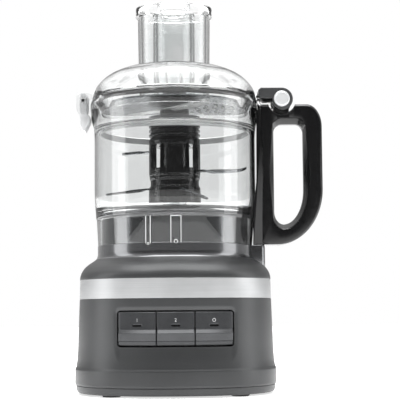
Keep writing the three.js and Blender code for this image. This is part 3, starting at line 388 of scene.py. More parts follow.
# Base: a rounded square in plan, |x/a|^n + |y/b|^n = 1, with a flared skirt and a pocket for the keys.
baseLow, baseHigh = span("base_shell")
bandLow, bandHigh = span("trim_band")
base = {
    "power": 2.35, "depthRatio": 104 / 101.6, "halfWidth": 101.6,
    "bottom": baseLow[2], "bandBottom": bandLow[2] - 0.3, "tongueTop": baseHigh[2],
    "skirtTop": 27, "waist": 97, "tongue": 95.2, "wall": 2.6,
    "pocketHalfWidth": 55.3, "pocketBottom": 48.5, "pocketTop": 82.4, "pocketCorner": 3.2, "pocketDepth": 11,
    "scoopDepth": 1.7, "scoopReach": 4.2,
}


# Section of the wall as half width and height: a skirt that rolls over into a soft hollow, then straight up to
# the band.
wallProfile = softened([
    [base["halfWidth"] - 0.9, base["bottom"]], [base["halfWidth"], base["bottom"] + 1.4],
    [101.4, base["skirtTop"] - 1.8], [100.3, base["skirtTop"] + 0.2], [99.4, base["skirtTop"] + 6],
    [98.6, 44], [base["waist"], base["bandBottom"]],
], [0, 0.7, 0.8, 1.6, 4, 7, 0], 6, closed=False)


def wallHalfWidth(z):
    return np.interp(z, wallProfile[:, 1], wallProfile[:, 0])


def frontY(x, halfWidth):
    # the front face of the rounded square at x
    n = base["power"]
    share = np.clip(np.abs(x / halfWidth), 0, 1)
    return -halfWidth * base["depthRatio"] * (1 - share ** n) ** (1 / n)


def pocketPush(x, z):
    # how far the wall goes in: a soft scoop outside the pocket's rounded rectangle, longer below it, and the
    # full depth inside it, both by the distance to the rectangle
    middle = (base["pocketTop"] + base["pocketBottom"]) / 2
    halfHeight = (base["pocketTop"] - base["pocketBottom"]) / 2
    corner = base["pocketCorner"]
    across = np.abs(x) - base["pocketHalfWidth"] + corner
    up = np.abs(z - middle) - halfHeight + corner
    inside = np.minimum(np.maximum(across, up), 0) - corner
    distance = np.hypot(np.maximum(across, 0), np.maximum(up, 0)) + inside
    softUp = np.where(z < middle, np.maximum(up, 0) / 2.6, np.maximum(up, 0))
    softDistance = np.hypot(np.maximum(across, 0), softUp) - corner
    scoop = base["scoopDepth"] * (1 - smooth(softDistance, -0.6 * corner, base["scoopReach"]))
    return scoop + (base["pocketDepth"] - base["scoopDepth"]) * (1 - smooth(distance, -0.45, 0.45))


def baseShellPart():
    # columns close together at the pocket's edges, rows too; beyond the pocket the columns follow the plan's
    # own curve
    n, edge, waist = base["power"], base["pocketHalfWidth"], base["waist"]
    steps = np.r_[np.arange(0, edge - 3, 1.6), np.arange(edge - 3, edge + 2, 0.35),
                  np.arange(edge + 2, edge + 8, 0.8), np.arange(edge + 8, 82, 2)]
    frontX = np.r_[-steps[:0:-1], steps]
    firstAngle = math.atan2(-(1 - (steps[-1] / waist) ** n) ** (1 / n) * waist, steps[-1])
    rest = np.linspace(firstAngle, math.pi - firstAngle, 132)[1:-1]
    grow = (np.abs(np.cos(rest)) ** n + np.abs(np.sin(rest)) ** n) ** (-1 / n)
    low, high = base["pocketBottom"], base["pocketTop"]
    rows = np.r_[wallProfile[:, 1], np.arange(low - 18, low - 2, 0.9), np.arange(low - 2, low + 3, 0.35),
                 np.arange(low + 3, high - 3, 2), np.arange(high - 3, high + 2, 0.35),
                 np.arange(high + 2, high + 8, 0.8)]
    rows = np.unique(np.round(rows, 3))
    rows = rows[np.r_[True, np.diff(rows) > 0.08]]
    outer = np.stack([wallHalfWidth(rows), rows], -1)
    tongue, wall, top, seat = base["tongue"], base["wall"], base["tongueTop"], base["bandBottom"]
    rim = [[tongue, seat], [tongue, top], [tongue - wall, top], [tongue - wall, seat - 4]]
    inner = wallProfile[-2::-1] - [wall, 0]
    profile = np.vstack([outer, rim, inner])
    width, z = profile[:, :1], profile[:, 1:]
    follow = smooth(np.abs(frontX), 62, 82)
    x = frontX * (1 + follow * (width / waist - 1))
    y = frontY(x, width) + pocketPush(x, z)
    restX = width * grow * np.cos(rest)
    restY = width * base["depthRatio"] * grow * np.sin(rest)
    allX = np.hstack([x, restX])
    return gridPart(np.stack([allX, np.hstack([y, restY]), z + 0 * allX], -1))


addPiece("base_body", [baseShellPart()], satinGreyPaint, "base", ["base_shell"], sharp=50)


def squareTurned(profile, angles, share=1.0):
    # the profile carried round the rounded square; share 0 makes it a circle
    n = base["power"]
    profile = np.asarray(profile, float)
    width, z = profile[:, :1], profile[:, 1:]
    share = np.broadcast_to(share, (len(profile),))[:, None]
    grow = 1 + share * ((np.abs(np.cos(angles)) ** n + np.abs(np.sin(angles)) ** n) ** (-1 / n) - 1)
    deep = 1 + share * (base["depthRatio"] - 1)
    x = width * grow * np.cos(angles)
    return np.stack([x, width * grow * np.sin(angles) * deep, z + 0 * x], -1)


fineTurn = np.linspace(0, 2 * math.pi, 240, endpoint=False)
bandProfile = softened([[97.0, bandLow[2]], [96.5, bandHigh[2]], [95.7, bandHigh[2]], [95.7, bandLow[2]]],
                       [0.35, 0.35, 0.1, 0.1])
undersideLow = span("bottom_cover")[0]
rimLow, rimHigh = undersideLow[2] - 0.1, base["bottom"] - 0.3
rimProfile = softened([[95, rimLow], [98.4, rimLow], [100.0, rimLow + 2.3], [100.6, rimHigh], [95, rimHigh]],
                      [0.2, 1.6, 2.4, 0.5, 0.2])
addPiece("bottom_edge", [gridPart(squareTurned(rimProfile, fineTurn))], satinGreyPaint, "base")
addPiece("brushed_band", [gridPart(squareTurned(bandProfile, fineTurn))], brushedAluminium, "base",
         ["trim_band"])

# Top cover: shoulder, neck, deck and the drum under the bowl, and the column under the handle.
coverLow, coverHigh = span("top_cover")
cover = {"bottom": coverLow[2], "drumTop": coverHigh[2], "neckRadius": 79, "drumRadius": 74.6, "deck": 148.4,
         "wall": 2.4, "spindleHole": 7.4, "columnReach": 91.7, "columnHalfWidth": 13, "glossAbove": 21.5}


def topCoverParts():
    # a turned section that goes from the rounded square at its foot to a circle at the neck, and the column
    b, deckZ, drumTop = cover["bottom"], cover["deck"], cover["drumTop"]
    neck, drum, wall, hole = cover["neckRadius"], cover["drumRadius"], cover["wall"], cover["spindleHole"]
    outside = [
        [96.7, b], [96.6, b + 3], [95.4, b + 7.5], [92.2, b + 12.8], [88.0, b + 16.4], [83.6, b + 19.2],
        [80.2, b + 21.8],
        [neck, b + 25.5], [neck, deckZ], [drum, deckZ], [drum, drumTop], [hole, drumTop],
        [hole, drumTop - wall], [drum - wall, drumTop - wall], [drum - wall, deckZ - wall],
        [neck - wall, deckZ - wall], [neck - wall, b + 24], [81.4, b + 17.9], [91.8, b + 8.6], [94.3, b],
    ]
    reach = [0.5, 2, 2.6, 3, 3, 2.2, 1.8, 2.4, 0.7, 0.8, 2, 0.3, 0.3, 0.5, 0.5, 0.5, 1, 1, 1, 0.2]
    profile = around(softened(outside, reach), 1.6)
    share = 1 - smooth(profile[:, 1], b + 3, b + 22)
    shell = gridPart(squareTurned(profile, fineTurn, share))
    c = cover["columnHalfWidth"]
    outline = around(roundedBox(70, cover["columnReach"], -c, c, 7, 8), 2)
    column = prismPart(outline, b + 8, deckZ, 0.8, upright=True)
    return [shell, column]


topCover = addPiece("top_housing", topCoverParts(), satinGreyPaint, "base", ["top_cover"])
topCover.data.materials.append(glossGreyPaint)
heights = np.zeros(len(topCover.data.polygons) * 3)
topCover.data.polygons.foreach_get("center", heights)
glossy = (heights.reshape(-1, 3)[:, 2] * 1000 > cover["bottom"] + cover["glossAbove"]).astype(np.int32)
topCover.data.polygons.foreach_set("material_index", glossy)

# Keys: a curved bar in three, each with a ridge for the finger, a sunk light slot and a printed mark.
key = {"section": [[-2.2, 49.5], [-0.6, 51.8], [0.4, 53.2], [1.6, 53.9], [2.7, 59.4], [3.1, 60.8],
                   [0.5, 64.4], [0.1, 65.8], [-0.5, 80.5], [-1.4, 81.5], [-6.4, 81.5], [-6.4, 49.5]],
       "corners": [0.9, 0.8, 0.4, 0.5, 0.35, 0.4, 0.3, 0.3, 0.8, 0.6, 0.5, 0.5],
       "slotHeight": 68.2, "slotHalfWidth": 4.4, "slotHalfHeight": 1.0, "slotDepth": 0.9, "markHeight": 73.3,
       "markSize": 4.4}


def keyPart(x1, x2):
    # the section, counted inwards from the wall's own front curve, carried from x1 to x2 with rounded ends
    section = softened(key["section"], key["corners"])
    section = anticlockwise(around(section, 0.45))
    rim = np.array([[0, 0.8], [0.12, 0.4], [0.35, 0.15], [0.8, 0]])
    centre = (x1 + x2) / 2
    inside = np.r_[np.arange(x1 + 0.8, x2 - 0.8, 1.7), np.arange(centre - 6, centre + 6, 0.3), x2 - 0.8]
    stations = [(x1 + d, i) for d, i in rim[:-1]]
    stations += [(x, 0) for x in np.unique(inside)]
    stations += [(x2 - d, i) for d, i in rim[-2::-1]]
    grid = []
    for x, inset in stations:
        flat = insetOutline(section, inset)
        z = flat[:, 1]
        across = np.abs(x - centre) - key["slotHalfWidth"] + key["slotHalfHeight"]
        distance = np.hypot(max(across, 0), z - key["slotHeight"]) - key["slotHalfHeight"]
        slot = key["slotDepth"] * (1 - smooth(distance, -0.25, 0.25)) * (flat[:, 0] > -3)
        y = frontY(x, wallHalfWidth(z) + flat[:, 0]) + slot
        grid.append(np.stack([np.full(len(z), x), y, z], -1))
    return gridPart(np.array(grid), loop=False, caps=True)


def keyFace(x, z):
    # the painted face of a key above its ridge
    offset = np.interp(z, [66, 80.5], [0.2, -0.5])
    return frontY(x, wallHalfWidth(z) + offset)


def markPart(text, x, size):
    # a numeral from Blender's own font, laid on the key's face
    curve = bpy.data.curves.new("mark", "FONT")
    curve.body = text
    curve.size = size
    curve.align_x = "CENTER"
    curve.align_y = "CENTER"
    curve.extrude = 0.1
    holder = bpy.data.objects.new("mark", curve)
    bpy.context.scene.collection.objects.link(holder)
    mesh = bpy.data.meshes.new_from_object(holder.evaluated_get(bpy.context.evaluated_depsgraph_get()))
    flat = np.zeros(len(mesh.vertices) * 3)
    mesh.vertices.foreach_get("co", flat)
    flat = flat.reshape(-1, 3)
    faces = [list(p.vertices) for p in mesh.polygons]
    bpy.data.objects.remove(holder)
    px, pz = x + flat[:, 0], key["markHeight"] + flat[:, 1]
    return np.stack([px, keyFace(px, pz) - flat[:, 2] - 0.02, pz], -1), faces


def ringMarkPart(x, outer, inner):
    # a plain circle symbol: a flat ring laid on the key's face
    turn = np.linspace(0, 2 * math.pi, 40, endpoint=False)
    rows = [(outer, -0.1), (outer, 0.1), (inner, 0.1), (inner, -0.1)]
    grid = []
    for radius, lift in rows:
        px, pz = x + radius * np.cos(turn), key["markHeight"] + radius * np.sin(turn)
        grid.append(np.stack([px, keyFace(px, pz) - lift - 0.02, pz], -1))
    return gridPart(np.array(grid))


def slotLightPart(x):
    # a dark window at the bottom of the slot
    half, deep = key["slotHalfWidth"] - 0.15, key["slotHalfHeight"] - 0.15
    outline = roundedBox(x - half, x + half, key["slotHeight"] - deep, key["slotHeight"] + deep, deep * 0.9)
    grid = []
    for lift in (0.95, 0.55):
        y = keyFace(outline[:, 0], outline[:, 1]) + lift
        grid.append(np.stack([outline[:, 0], y, outline[:, 1]], -1))
    return gridPart(np.array(grid), loop=False, caps=True)


for label, mark in (("1", "1"), ("2", "2"), ("pulse", None)):
    low, high = span(f"paddle_key_{label}")
    middle = (low[0] + high[0]) / 2
    body = f"key_{label}"
    addPiece(f"key_face_{label}", [keyPart(low[0], high[0])], keyPlastic, body,
             [f"paddle_key_{label}"], sharp=40)
    marks = markPart(mark, middle, key["markSize"]) if mark else ringMarkPart(middle, 1.7, 1.2)
    addPiece(f"key_mark_{label}", [marks], printedInk, body)
    addPiece(f"key_window_{label}", [slotLightPart(middle)], glossBlackPlastic, body)
print("base made")

# Bowl: one clear moulding with a skirt over the drum, a floor, a chimney, a handle channel and a latch lug.
bowlLow, bowlHigh = span("bowl")
bowl = {"bottom": bowlLow[2], "rim": bowlHigh[2], "footRadius": 78.3, "floorRadius": 79.9, "radius": 82.2,
        "wall": 2.5, "rimRadius": 86.4, "skirtHeight": 33, "floorWall": 2.4, "chimneyRadius": 12,
        "chimneyHeight": 64, "channelHalfWidth": 9, "channelReach": 88, "lugReach": 85.6}


def bowlColumns():
    # closer columns at the channel and the lug
    degrees = np.r_[np.arange(0, 360, 1.8), np.arange(-9, 9, 0.35), np.arange(171, 189, 0.6)]
    return np.radians(np.unique(np.round(degrees % 360, 3)))


def ribPart(path, half, height, closed=False):
    # a low rib on the front of the skirt: a half-round section carried along a path given as x and height
    # above the foot
    path = np.asarray(path, float)
    side = np.roll(path, -1, 0) - np.roll(path, 1, 0) if closed else np.gradient(path, axis=0)
    side /= np.linalg.norm(side, axis=1)[:, None]
    turn = np.radians([200, 180, 140, 90, 40, 0, -20])
    across, lift = half * np.cos(turn), height * np.sin(turn)
    x = path[:, :1] - side[:, 1:] * across
    z = bowl["bottom"] + path[:, 1:] + side[:, :1] * across
    heights = [bowl["bottom"], bowl["bottom"] + bowl["skirtHeight"] - 1]
    radius = np.interp(z, heights, [bowl["footRadius"], bowl["floorRadius"]]) + 0.02 + lift
    y = -np.sqrt(radius ** 2 - x ** 2)
    return gridPart(np.stack([x, y, z], -1), loop=closed, caps=not closed)


ribs = {"top": bowl["skirtHeight"] - 1.5, "slotX": -26.2, "slotHalf": 2.2, "slotFoot": 5, "tongueLeft": -4.1,
        "tongueRight": 5.7, "tongueFoot": 1.2, "eye": (0.8, 6.6, 1.7), "drop": (-26.2, 4.6, 0.9)}


def skirtRibParts():
    # a narrow round-ended slot, and a wide tongue with a ring near its foot
    top, middle, half, foot = ribs["top"], ribs["slotX"], ribs["slotHalf"], ribs["slotFoot"]
    down = np.linspace(top, foot, 26)
    turn = np.radians(np.linspace(180, 360, 14))[1:-1]
    slot = np.vstack([np.stack([middle - half + 0 * down, down], -1),
                      np.stack([middle + half * np.cos(turn), foot + half * np.sin(turn)], -1),
                      np.stack([middle + half + 0 * down, down[::-1]], -1)])
    left, right, low = ribs["tongueLeft"], ribs["tongueRight"], ribs["tongueFoot"]
    tongue = around(softened([[left, top], [left, low], [right, low], [right, top]], 0.8), 1)
    ring = np.radians(np.linspace(0, 360, 28, endpoint=False))
    eye, drop = [np.stack([x + radius * np.cos(ring), z + radius * np.sin(ring)], -1)
                 for x, z, radius in (ribs["eye"], ribs["drop"])]
    return [ribPart(slot, 0.42, 0.5), ribPart(tongue, 0.4, 0.45, True), ribPart(eye, 0.4, 0.5, True),
            ribPart(drop, 0.5, 0.6, True)]


def bowlPart():
    # one section turned round the axis: up the outside, down the inside over the lip, across the floor and
    # round the chimney, then pushed outwards where the channel and the lug stand
    b, rim, w = bowl["bottom"], bowl["rim"], bowl["wall"]
    radius, floor, foot = bowl["radius"], bowl["floorRadius"], bowl["footRadius"]
    chimney, bore = bowl["chimneyRadius"], bowl["chimneyRadius"] - bowl["floorWall"]
    floorUnder = b + bowl["skirtHeight"]
    floorTop = floorUnder + bowl["floorWall"]
    chimneyTop = b + bowl["chimneyHeight"]
    flare = rim - 36
    outside = softened([
        [foot, b], [floor, floorUnder - 1], [floor + 0.7, floorUnder + 1.2], [radius, floorUnder + 22],
        [radius, flare], [83.4, rim - 23], [86.3, rim - 10], [bowl["rimRadius"], rim - 4], [84.6, rim]],
        [0, 0.6, 0.8, 10, 8, 6, 4, 2, 0], 5, closed=False)
    inside = softened([
        [82.6, rim], [81.6, rim - 7], [80.9, rim - 21], [80.0, rim - 29.2], [75.6, rim - 30.1],
        [74.5, rim - 30.6], [74.5, rim - 32.6], [75.6, rim - 33.1], [79.7, rim - 33.1],
        [radius - w, flare - 1], [radius - w, floorUnder + 22], [floor - w + 0.2, floorTop + 6],
        [floor - w - 6, floorTop],
        [chimney, floorTop], [chimney, chimneyTop], [bore, chimneyTop], [bore, floorUnder],
        [floor - w, floorUnder], [foot - w, b]],
        [0, 2, 4, 1.2, 0.4, 0.5, 0.5, 0.4, 0.8, 0.5, 8, 4, 5, 2, 0.8, 0.8, 0.8, 1, 0], 5, closed=False)
    outside = spaced(outside, 3)
    profile = np.vstack([outside, spaced(inside, 5)])
    angles = bowlColumns()
    radius, z = profile[:, :1], profile[:, 1:]
    radius = radius + 0 * angles
    outer = (np.arange(len(profile)) < len(outside))[:, None]
    x, y = radius * np.cos(angles), radius * np.sin(angles)
    # the channel stands out to a flat face, with short flanks
    flank = 1 - smooth(np.abs(y), bowl["channelHalfWidth"] - 0.9, bowl["channelHalfWidth"] + 0.3)
    top = 1 - smooth(z, rim - 6.5, rim - 4)
    reach = (bowl["channelReach"] / np.maximum(np.cos(angles), 0.5) - radius) * flank * top * (x > 0) * outer
    radius = radius + np.maximum(reach, 0)
    # the lug for the latch stands out on the other side, sloping below
    lug = np.interp(z[:, 0], [rim - 28, rim - 18.5, rim - 16, rim - 13.5], [0, 1, 1, 0])[:, None]
    lugSide = 1 - smooth(np.abs(y), 8.6, 10)
    lugOut = np.maximum(bowl["lugReach"] - radius, 0) * lug * lugSide * (x < 0) * outer
    radius = radius + lugOut
    grid = np.stack([radius * np.cos(angles), radius * np.sin(angles), z + 0 * radius], -1)
    return gridPart(grid)


addPiece("clear_bowl", [bowlPart()], clearBowlPlastic, "bowl", ["bowl"], sharp=40)
# The ribs take the near-white finish: painted highlight for the lamp light that they catch.
addPiece("skirt_ribs", skirtRibParts(), paleHighlightPlastic, "bowl")
# A pale ring laid over the bowl's lip: painted highlight for the bright band of light that the thick lip shows.
lipTop, lipLow = bowl["rim"] - 30.4, bowl["rim"] - 36
lipProfile = softened([[73.0, lipTop], [74.0, lipTop], [76.6, lipLow], [75.4, lipLow]], 0.3)
addPiece("splash_lip_painted_highlight", [turnedPart(lipProfile, fullTurn)], paleHighlightPlastic, "bowl")
print("bowl made")

# Handle: a D between its outline and its hand hole, with a bevel sloping into the hole.
gripLow, gripHigh = span("handle_grip")
handle = {"left": gripLow[0], "right": gripHigh[0], "bottom": gripLow[2], "top": 293, "half": gripHigh[1],
          "spine": 13.6, "gripWidth": 19, "above": 20, "below": 21, "centre": (116.5, 222), "bevel": 5.2,
          "sweep": (47, 57), "corner": (15.5, 23)}
pinLow, pinHigh = span("hinge_pin")
pin = {"x": (pinLow[0] + pinHigh[0]) / 2, "z": (pinLow[2] + pinHigh[2]) / 2, "seatRadius": 15}


def arc(centre, radii, start, end, steps=16):
    # points on an ellipse from one angle to another, in degrees
    turn = np.radians(np.linspace(start, end, steps))
    return np.stack([centre[0] + radii[0] * np.cos(turn), centre[1] + radii[1] * np.sin(turn)], -1)


def handleOutline():
    # arcs joined by straight lines: a wide sweep at the foot, a tighter corner above, a hollow seat for the pin
    left, right, bottom, top = handle["left"], handle["right"], handle["bottom"], handle["top"]
    sweep, corner, seat = handle["sweep"], handle["corner"], pin["seatRadius"]
    seatAngle = math.degrees(math.asin((pin["z"] - top) / seat))
    return around(np.vstack([
        arc((left + 1.5, bottom + 1.5), (1.5, 1.5), 180, 270, 5),
        arc((right - sweep[0], bottom + sweep[1]), sweep, -90, 0, 30),
        arc((right - corner[0], top - corner[1]), corner, 0, 90, 24),
        arc((pin["x"], pin["z"]), (seat, seat), -seatAngle, -180 + seatAngle, 24),
        arc((left + 1, top - 1), (1, 1), 90, 180, 4)]), 3)


def handHoleOutline():
    # the same kind of outline for the hand hole, inside the spine, the grip and the two ends
    left, right = handle["left"] + handle["spine"], handle["right"] - handle["gripWidth"]
    bottom, top = handle["bottom"] + handle["below"], handle["top"] - handle["above"]
    return around(np.vstack([
        arc((left + 10, bottom + 13), (10, 13), 182, 268, 12),
        arc((left + 9, bottom + 36), (right - left - 9, 36), -80, 0, 24),
        arc((right - 8.5, top - 8.5), (8.5, 8.5), 0, 90, 10),
        arc((left + 8.5, top - 8.5), (8.5, 8.5), 90, 180, 10)]), 3)


def byAngle(outline, centre):
    # an outline's radius from a centre inside it, as sorted angle and radius
    offset = outline - np.array(centre)
    angle = np.arctan2(offset[:, 1], offset[:, 0]) % (2 * math.pi)
    order = np.argsort(angle)
    return angle[order], np.hypot(offset[:, 0], offset[:, 1])[order]


def handlePart():
    # at each angle a section runs from the hole to the outline: flat faces, round outer edge, sloping bevel
    # inside
    outerAngle, outerRadius = byAngle(handleOutline(), handle["centre"])
    innerAngle, innerRadius = byAngle(handHoleOutline(), handle["centre"])
    angles = np.union1d(np.round(outerAngle, 5), np.round(innerAngle, 5))
    outer = np.interp(angles, outerAngle, outerRadius, period=2 * math.pi)
    inner = np.interp(angles, innerAngle, innerRadius, period=2 * math.pi)
    half, bevel = handle["half"], handle["bevel"]
    # in each corner: the share of the width that is added, millimetres along it, and the depth
    corners = np.array([
        [0, 0, -3.5], [0, bevel, -half + 1.1], [0, bevel + 0.9, -half], [1, -2.2, -half], [1, 0, -half + 2.6],
        [1, 0, half - 2.6], [1, -2.2, half], [0, bevel + 0.9, half], [0, bevel, half - 1.1], [0, 0, 3.5]])
    usualWidth = 30  # makes the shares millimetres while the corners are softened
    section = softened(corners * [usualWidth, 1, 1], [1.2, 0.3, 0.4, 1.2, 1.4, 1.4, 1.2, 0.4, 0.3, 1.2], 4)
    share, along, depth = section[:, 0:1] / usualWidth, section[:, 1:2], section[:, 2:3]
    width = outer - inner
    radius = inner + share * width + along
    x = handle["centre"][0] + radius * np.cos(angles)
    z = handle["centre"][1] + radius * np.sin(angles)
    return gridPart(np.stack([x, depth + 0 * x, z], -1))


def hingeLugPart():
    # a tongue with a half-round top that stands up from the seat and holds the pin
    x, z, half = pin["x"], pin["z"], 8
    outline = np.vstack([arc((x, z), (half, half), 0, 180, 20), [[x - half, z - 18], [x + half, z - 18]]])
    return prismPart(outline, -5, 5, 0.6)


def sleeveParts():
    # two cheeks that run down the sides of the bowl's channel
    low, outer, top = handle["bottom"] + 0.6, handle["left"] + 2, handle["top"]
    outline = [[79.6, low], [outer, low], [outer, top - 4], [84, top - 6], [83.6, 215], [79.6, 184]]
    shape = softened(outline, [0.5, 0.5, 0.5, 3, 8, 4])
    return [prismPart(shape, side * 11.2 - 1.4, side * 11.2 + 1.4, 0.5) for side in (-1, 1)]


addPiece("handle_shell", [handlePart(), hingeLugPart(), *sleeveParts()], glossBlackPlastic, "bowl",
         ["handle_grip"], sharp=24)

# Hinge: charcoal arm cover over the lid's clear ears, and a pin with a bright dished cap.
armLow, armHigh = span("hinge_arm")
arm = {"left": armLow[0] + 0.6, "half": armHigh[1], "skin": 2.4, "radius": 11.6}


def hingeArmParts():
    # two cheeks round the pin and a web that joins them over the top
    x, z, r, left = pin["x"], pin["z"], arm["radius"], arm["left"]
    back = [[left + 2.4, z + r], [left, z + r - 2], [left, z + 1], [x - 9.5, z + 1], [x - 9.5, z - 6.5]]
    side = np.vstack([arc((x, z), (r, r), -90, 90, 28), back])
    web = np.array([[left, z + 6.4], [x - 11, z + 6.4], [x - 5.5, z + 11.2], [x, z + r - 0.05],
                    [left + 2.4, z + r - 0.05], [left, z + r - 2]])
    inner = arm["half"] - arm["skin"]
    return [prismPart(side, inner, arm["half"], 0.7), prismPart(side, -arm["half"], -inner, 0.7),
            prismPart(web, -inner - 0.2, inner + 0.2, 0.1)]


addPiece("hinge_arm_cover", hingeArmParts(), satinCharcoalPlastic, "lid", ["hinge_arm"])
face, far = pinLow[1] + 2, pinHigh[1]
pinProfile = softened([
    [0, face - 1.2], [6.4, face - 1.0], [6.9, face - 1.9], [7.7, face - 1.9], [8.2, face - 1.2], [8.2, face],
    [3, face], [3, far - 1.6], [4.6, far - 1.6], [4.6, far - 0.4], [4.2, far], [0, far]],
    [0, 0.3, 0.3, 0.3, 0.3, 0.2, 0.2, 0.2, 0.2, 0.2, 0.2, 0], closed=False)
addPiece("hinge_pin_cap", [crossTurnedPart(pinProfile, pinTurn, (pin["x"], pin["z"]))], silverPlastic, "lid",
         ["hinge_pin"])

# Lid: dome, feed tube, edge and inner skirt are one closed skin between a circle and the tube's oval.
lidHigh = span("lid")[1]
sealLow, sealHigh = span("lid_seal")
lid = {"edge": bowl["rim"] + 0.3, "top": bowl["rim"] + 37.3, "radius": 84.2, "tubeTop": lidHigh[2],
       "tubeBottom": bowl["rim"] - 0.8, "tubeY": 40, "tubeHalfWidth": 38.4, "tubeHalfDepth": 27.8,
       "tubePower": 2.6, "tubeDraft": 1.3, "tubeWall": 2.2, "skirtBottom": bowl["rim"] - 12}


def tubePlan(halfWidth, angles):
    # oval |x/a|^n + |y/b|^n = 1 about the tube's centre
    n = lid["tubePower"]
    grow = (np.abs(np.cos(angles)) ** n + np.abs(np.sin(angles)) ** n) ** (-1 / n)
    ratio = lid["tubeHalfDepth"] / lid["tubeHalfWidth"]
    halfWidth = np.asarray(halfWidth, float).reshape(-1, 1)
    return halfWidth * grow * np.cos(angles), lid["tubeY"] + halfWidth * ratio * grow * np.sin(angles)


def domeHeight(radius, inner=False):
    # the dome's section; the inner one is its offset
    top, edge = lid["top"], lid["edge"]
    if inner:
        drops = [2.3, 4.1, 8.3, 14.2, 20, 27, top - edge - 2]
        return top - np.interp(radius, [0, 35, 54.6, 67, 74.2, 79.0, 81.2], drops)
    curve = softened([
        [0, top], [18, top - 0.2], [35.5, top - 1.7], [55.4, top - 6], [68.3, top - 12.2], [76, top - 18.7],
        [81, top - 25], [83.6, top - 31.5], [lid["radius"], edge + 1.5]],
        [0, 8, 9, 9, 6, 4, 3, 2, 0], 5, closed=False)
    return np.interp(radius, curve[:, 0], curve[:, 1])


def lidPart():
    # rows of points in order along the section: the rim, over the dome, up the tube, down inside it, under
    # the dome and round the skirt that hangs in the bowl; a dome row is a mix of a circle and the tube's oval
    angles = fullTurn
    edge, top, radius = lid["edge"], lid["top"], lid["radius"]
    tubeTop, tubeBottom, wall = lid["tubeTop"], lid["tubeBottom"], lid["tubeWall"]
    rows = []

    def draftAt(z):
        return lid["tubeHalfWidth"] - lid["tubeDraft"] * (tubeTop - z) / (tubeTop - tubeBottom)

    def circle(ringRadius, z):
        rows.append(np.stack([ringRadius * np.cos(angles), ringRadius * np.sin(angles), z + 0 * angles], -1))

    def tube(halfWidth, z):
        x, y = tubePlan(halfWidth, angles)
        rows.append(np.stack([x[0], y[0], z + 0 * angles], -1))

    def dome(share, outerRadius, halfWidth, inner):
        x, y = tubePlan(halfWidth, angles)
        px = (1 - share) * outerRadius * np.cos(angles) + share * x[0]
        py = (1 - share) * outerRadius * np.sin(angles) + share * y[0]
        rows.append(np.stack([px, py, domeHeight(np.hypot(px, py), inner)], -1))

    rim = [[78, edge], [radius - 0.6, edge], [radius, edge + 0.7], [radius, edge + 1.5]]
    for ringRadius, z in softened(rim, [0, 0.4, 0.3, 0], closed=False):
        circle(ringRadius, z)
    for share in np.linspace(0, 1, 40) ** 1.15:
        dome(share, radius, draftAt(top) + 0.8, False)
    for z in np.linspace(top + 1.2, tubeTop - 1.2, 12):
        tube(draftAt(z), z)
    for inset, drop in ((0.2, 0.4), (0.9, 0), (1.6, 0), (wall, 0.6)):
        tube(lid["tubeHalfWidth"] - inset, tubeTop - drop)
    for z in np.linspace(tubeTop - 3, tubeBottom + 1, 12):
        tube(draftAt(z) - wall, z)
    for inset, lift in ((1.6, 0), (0.6, 0), (0, 0.6)):
        tube(draftAt(tubeBottom) - inset, tubeBottom + lift)
    under = draftAt(tubeBottom + 20)
    x, y = tubePlan(under, angles)
    ceiling = domeHeight(np.hypot(x[0], y[0]), True)
    for share in (0.2, 0.5, 0.8):
        tube(under, tubeBottom + 0.6 + (ceiling - tubeBottom - 0.6) * share)
    for share in np.linspace(1, 0, 26):
        dome(share, radius - 3.2, under, True)
    low = lid["skirtBottom"]
    skirt = [[80.2, edge + 4], [76.0, edge + 1.4], [75.5, edge - 3], [75.6, low + 0.6], [76.0, low],
             [76.9, low], [77.2, low + 0.6], [77.5, edge - 4.8]]
    for ringRadius, z in softened(skirt, [0, 1.5, 2, 0.4, 0.3, 0.3, 0.4, 0], 4, closed=False):
        circle(ringRadius, z)
    return gridPart(np.array(rows))


def hingeEarParts():
    # two clear bars from the lid's edge that end in rings round the pin
    x, z, edge, low = pin["x"], pin["z"], lid["edge"], bowl["rim"] - 3.2
    bar = np.vstack([[[83.2, edge + 1.6], [88.2, edge + 0.6], [90, low], [x - 9, low]],
                     arc((x, z), (11, 11), -150, 90, 36), [[84, z + 6], [80.6, z + 6]]])
    return [prismPart(bar, 5.4, 10.4, 0.6), prismPart(bar, -10.4, -5.4, 0.6)]


def latchCheekParts():
    # two clear plates that hold the latch's pin
    edge = lid["edge"]
    shape = softened([
        [-83.5, edge + 1], [-87.2, edge - 0.5], [-87.2, edge - 15], [-97.2, edge - 15], [-100.2, edge - 11],
        [-100.2, edge + 6], [-96.2, edge + 10.5], [-80, edge + 10.5]], [0.5, 1, 1.5, 2.5, 3, 4, 3, 1], 5)
    return [prismPart(shape, side * 12.6 - 1.1, side * 12.6 + 1.1, 0.5) for side in (-1, 1)]


socketTop, socketLow = lid["top"] - 2.6, bowl["rim"] + 13.2
socketProfile = softened([[8.5, socketTop], [8.5, socketLow], [6.2, socketLow], [6.2, socketTop]],
                         [0.1, 0.7, 0.7, 0.1])
socket = turnedPart(socketProfile, fullTurn[::3])
addPiece("clear_lid", [lidPart(), *hingeEarParts(), *latchCheekParts(), socket], clearLidPlastic, "lid",
         ["lid"], sharp=40)

sealBottom, sealTop = sealLow[2], sealHigh[2]
sealProfile = softened([[77.9, sealBottom], [79.5, sealBottom], [80.7, sealBottom + 2.2], [80.5, sealTop],
                        [77.9, sealTop]], 0.4)
addPiece("lid_seal_ring", [turnedPart(sealProfile, fullTurn)], mattRubber, "lid", ["lid_seal"])

# Latch: a pale lever with a finger facet, on a small pin between the lid's clear cheeks.
leverHigh = span("latch_lever")[1]
latchPinLow, latchPinHigh = span("latch_pin")
latch = {"x": (latchPinLow[0] + latchPinHigh[0]) / 2, "z": (latchPinLow[2] + latchPinHigh[2]) / 2,
         "half": leverHigh[1]}


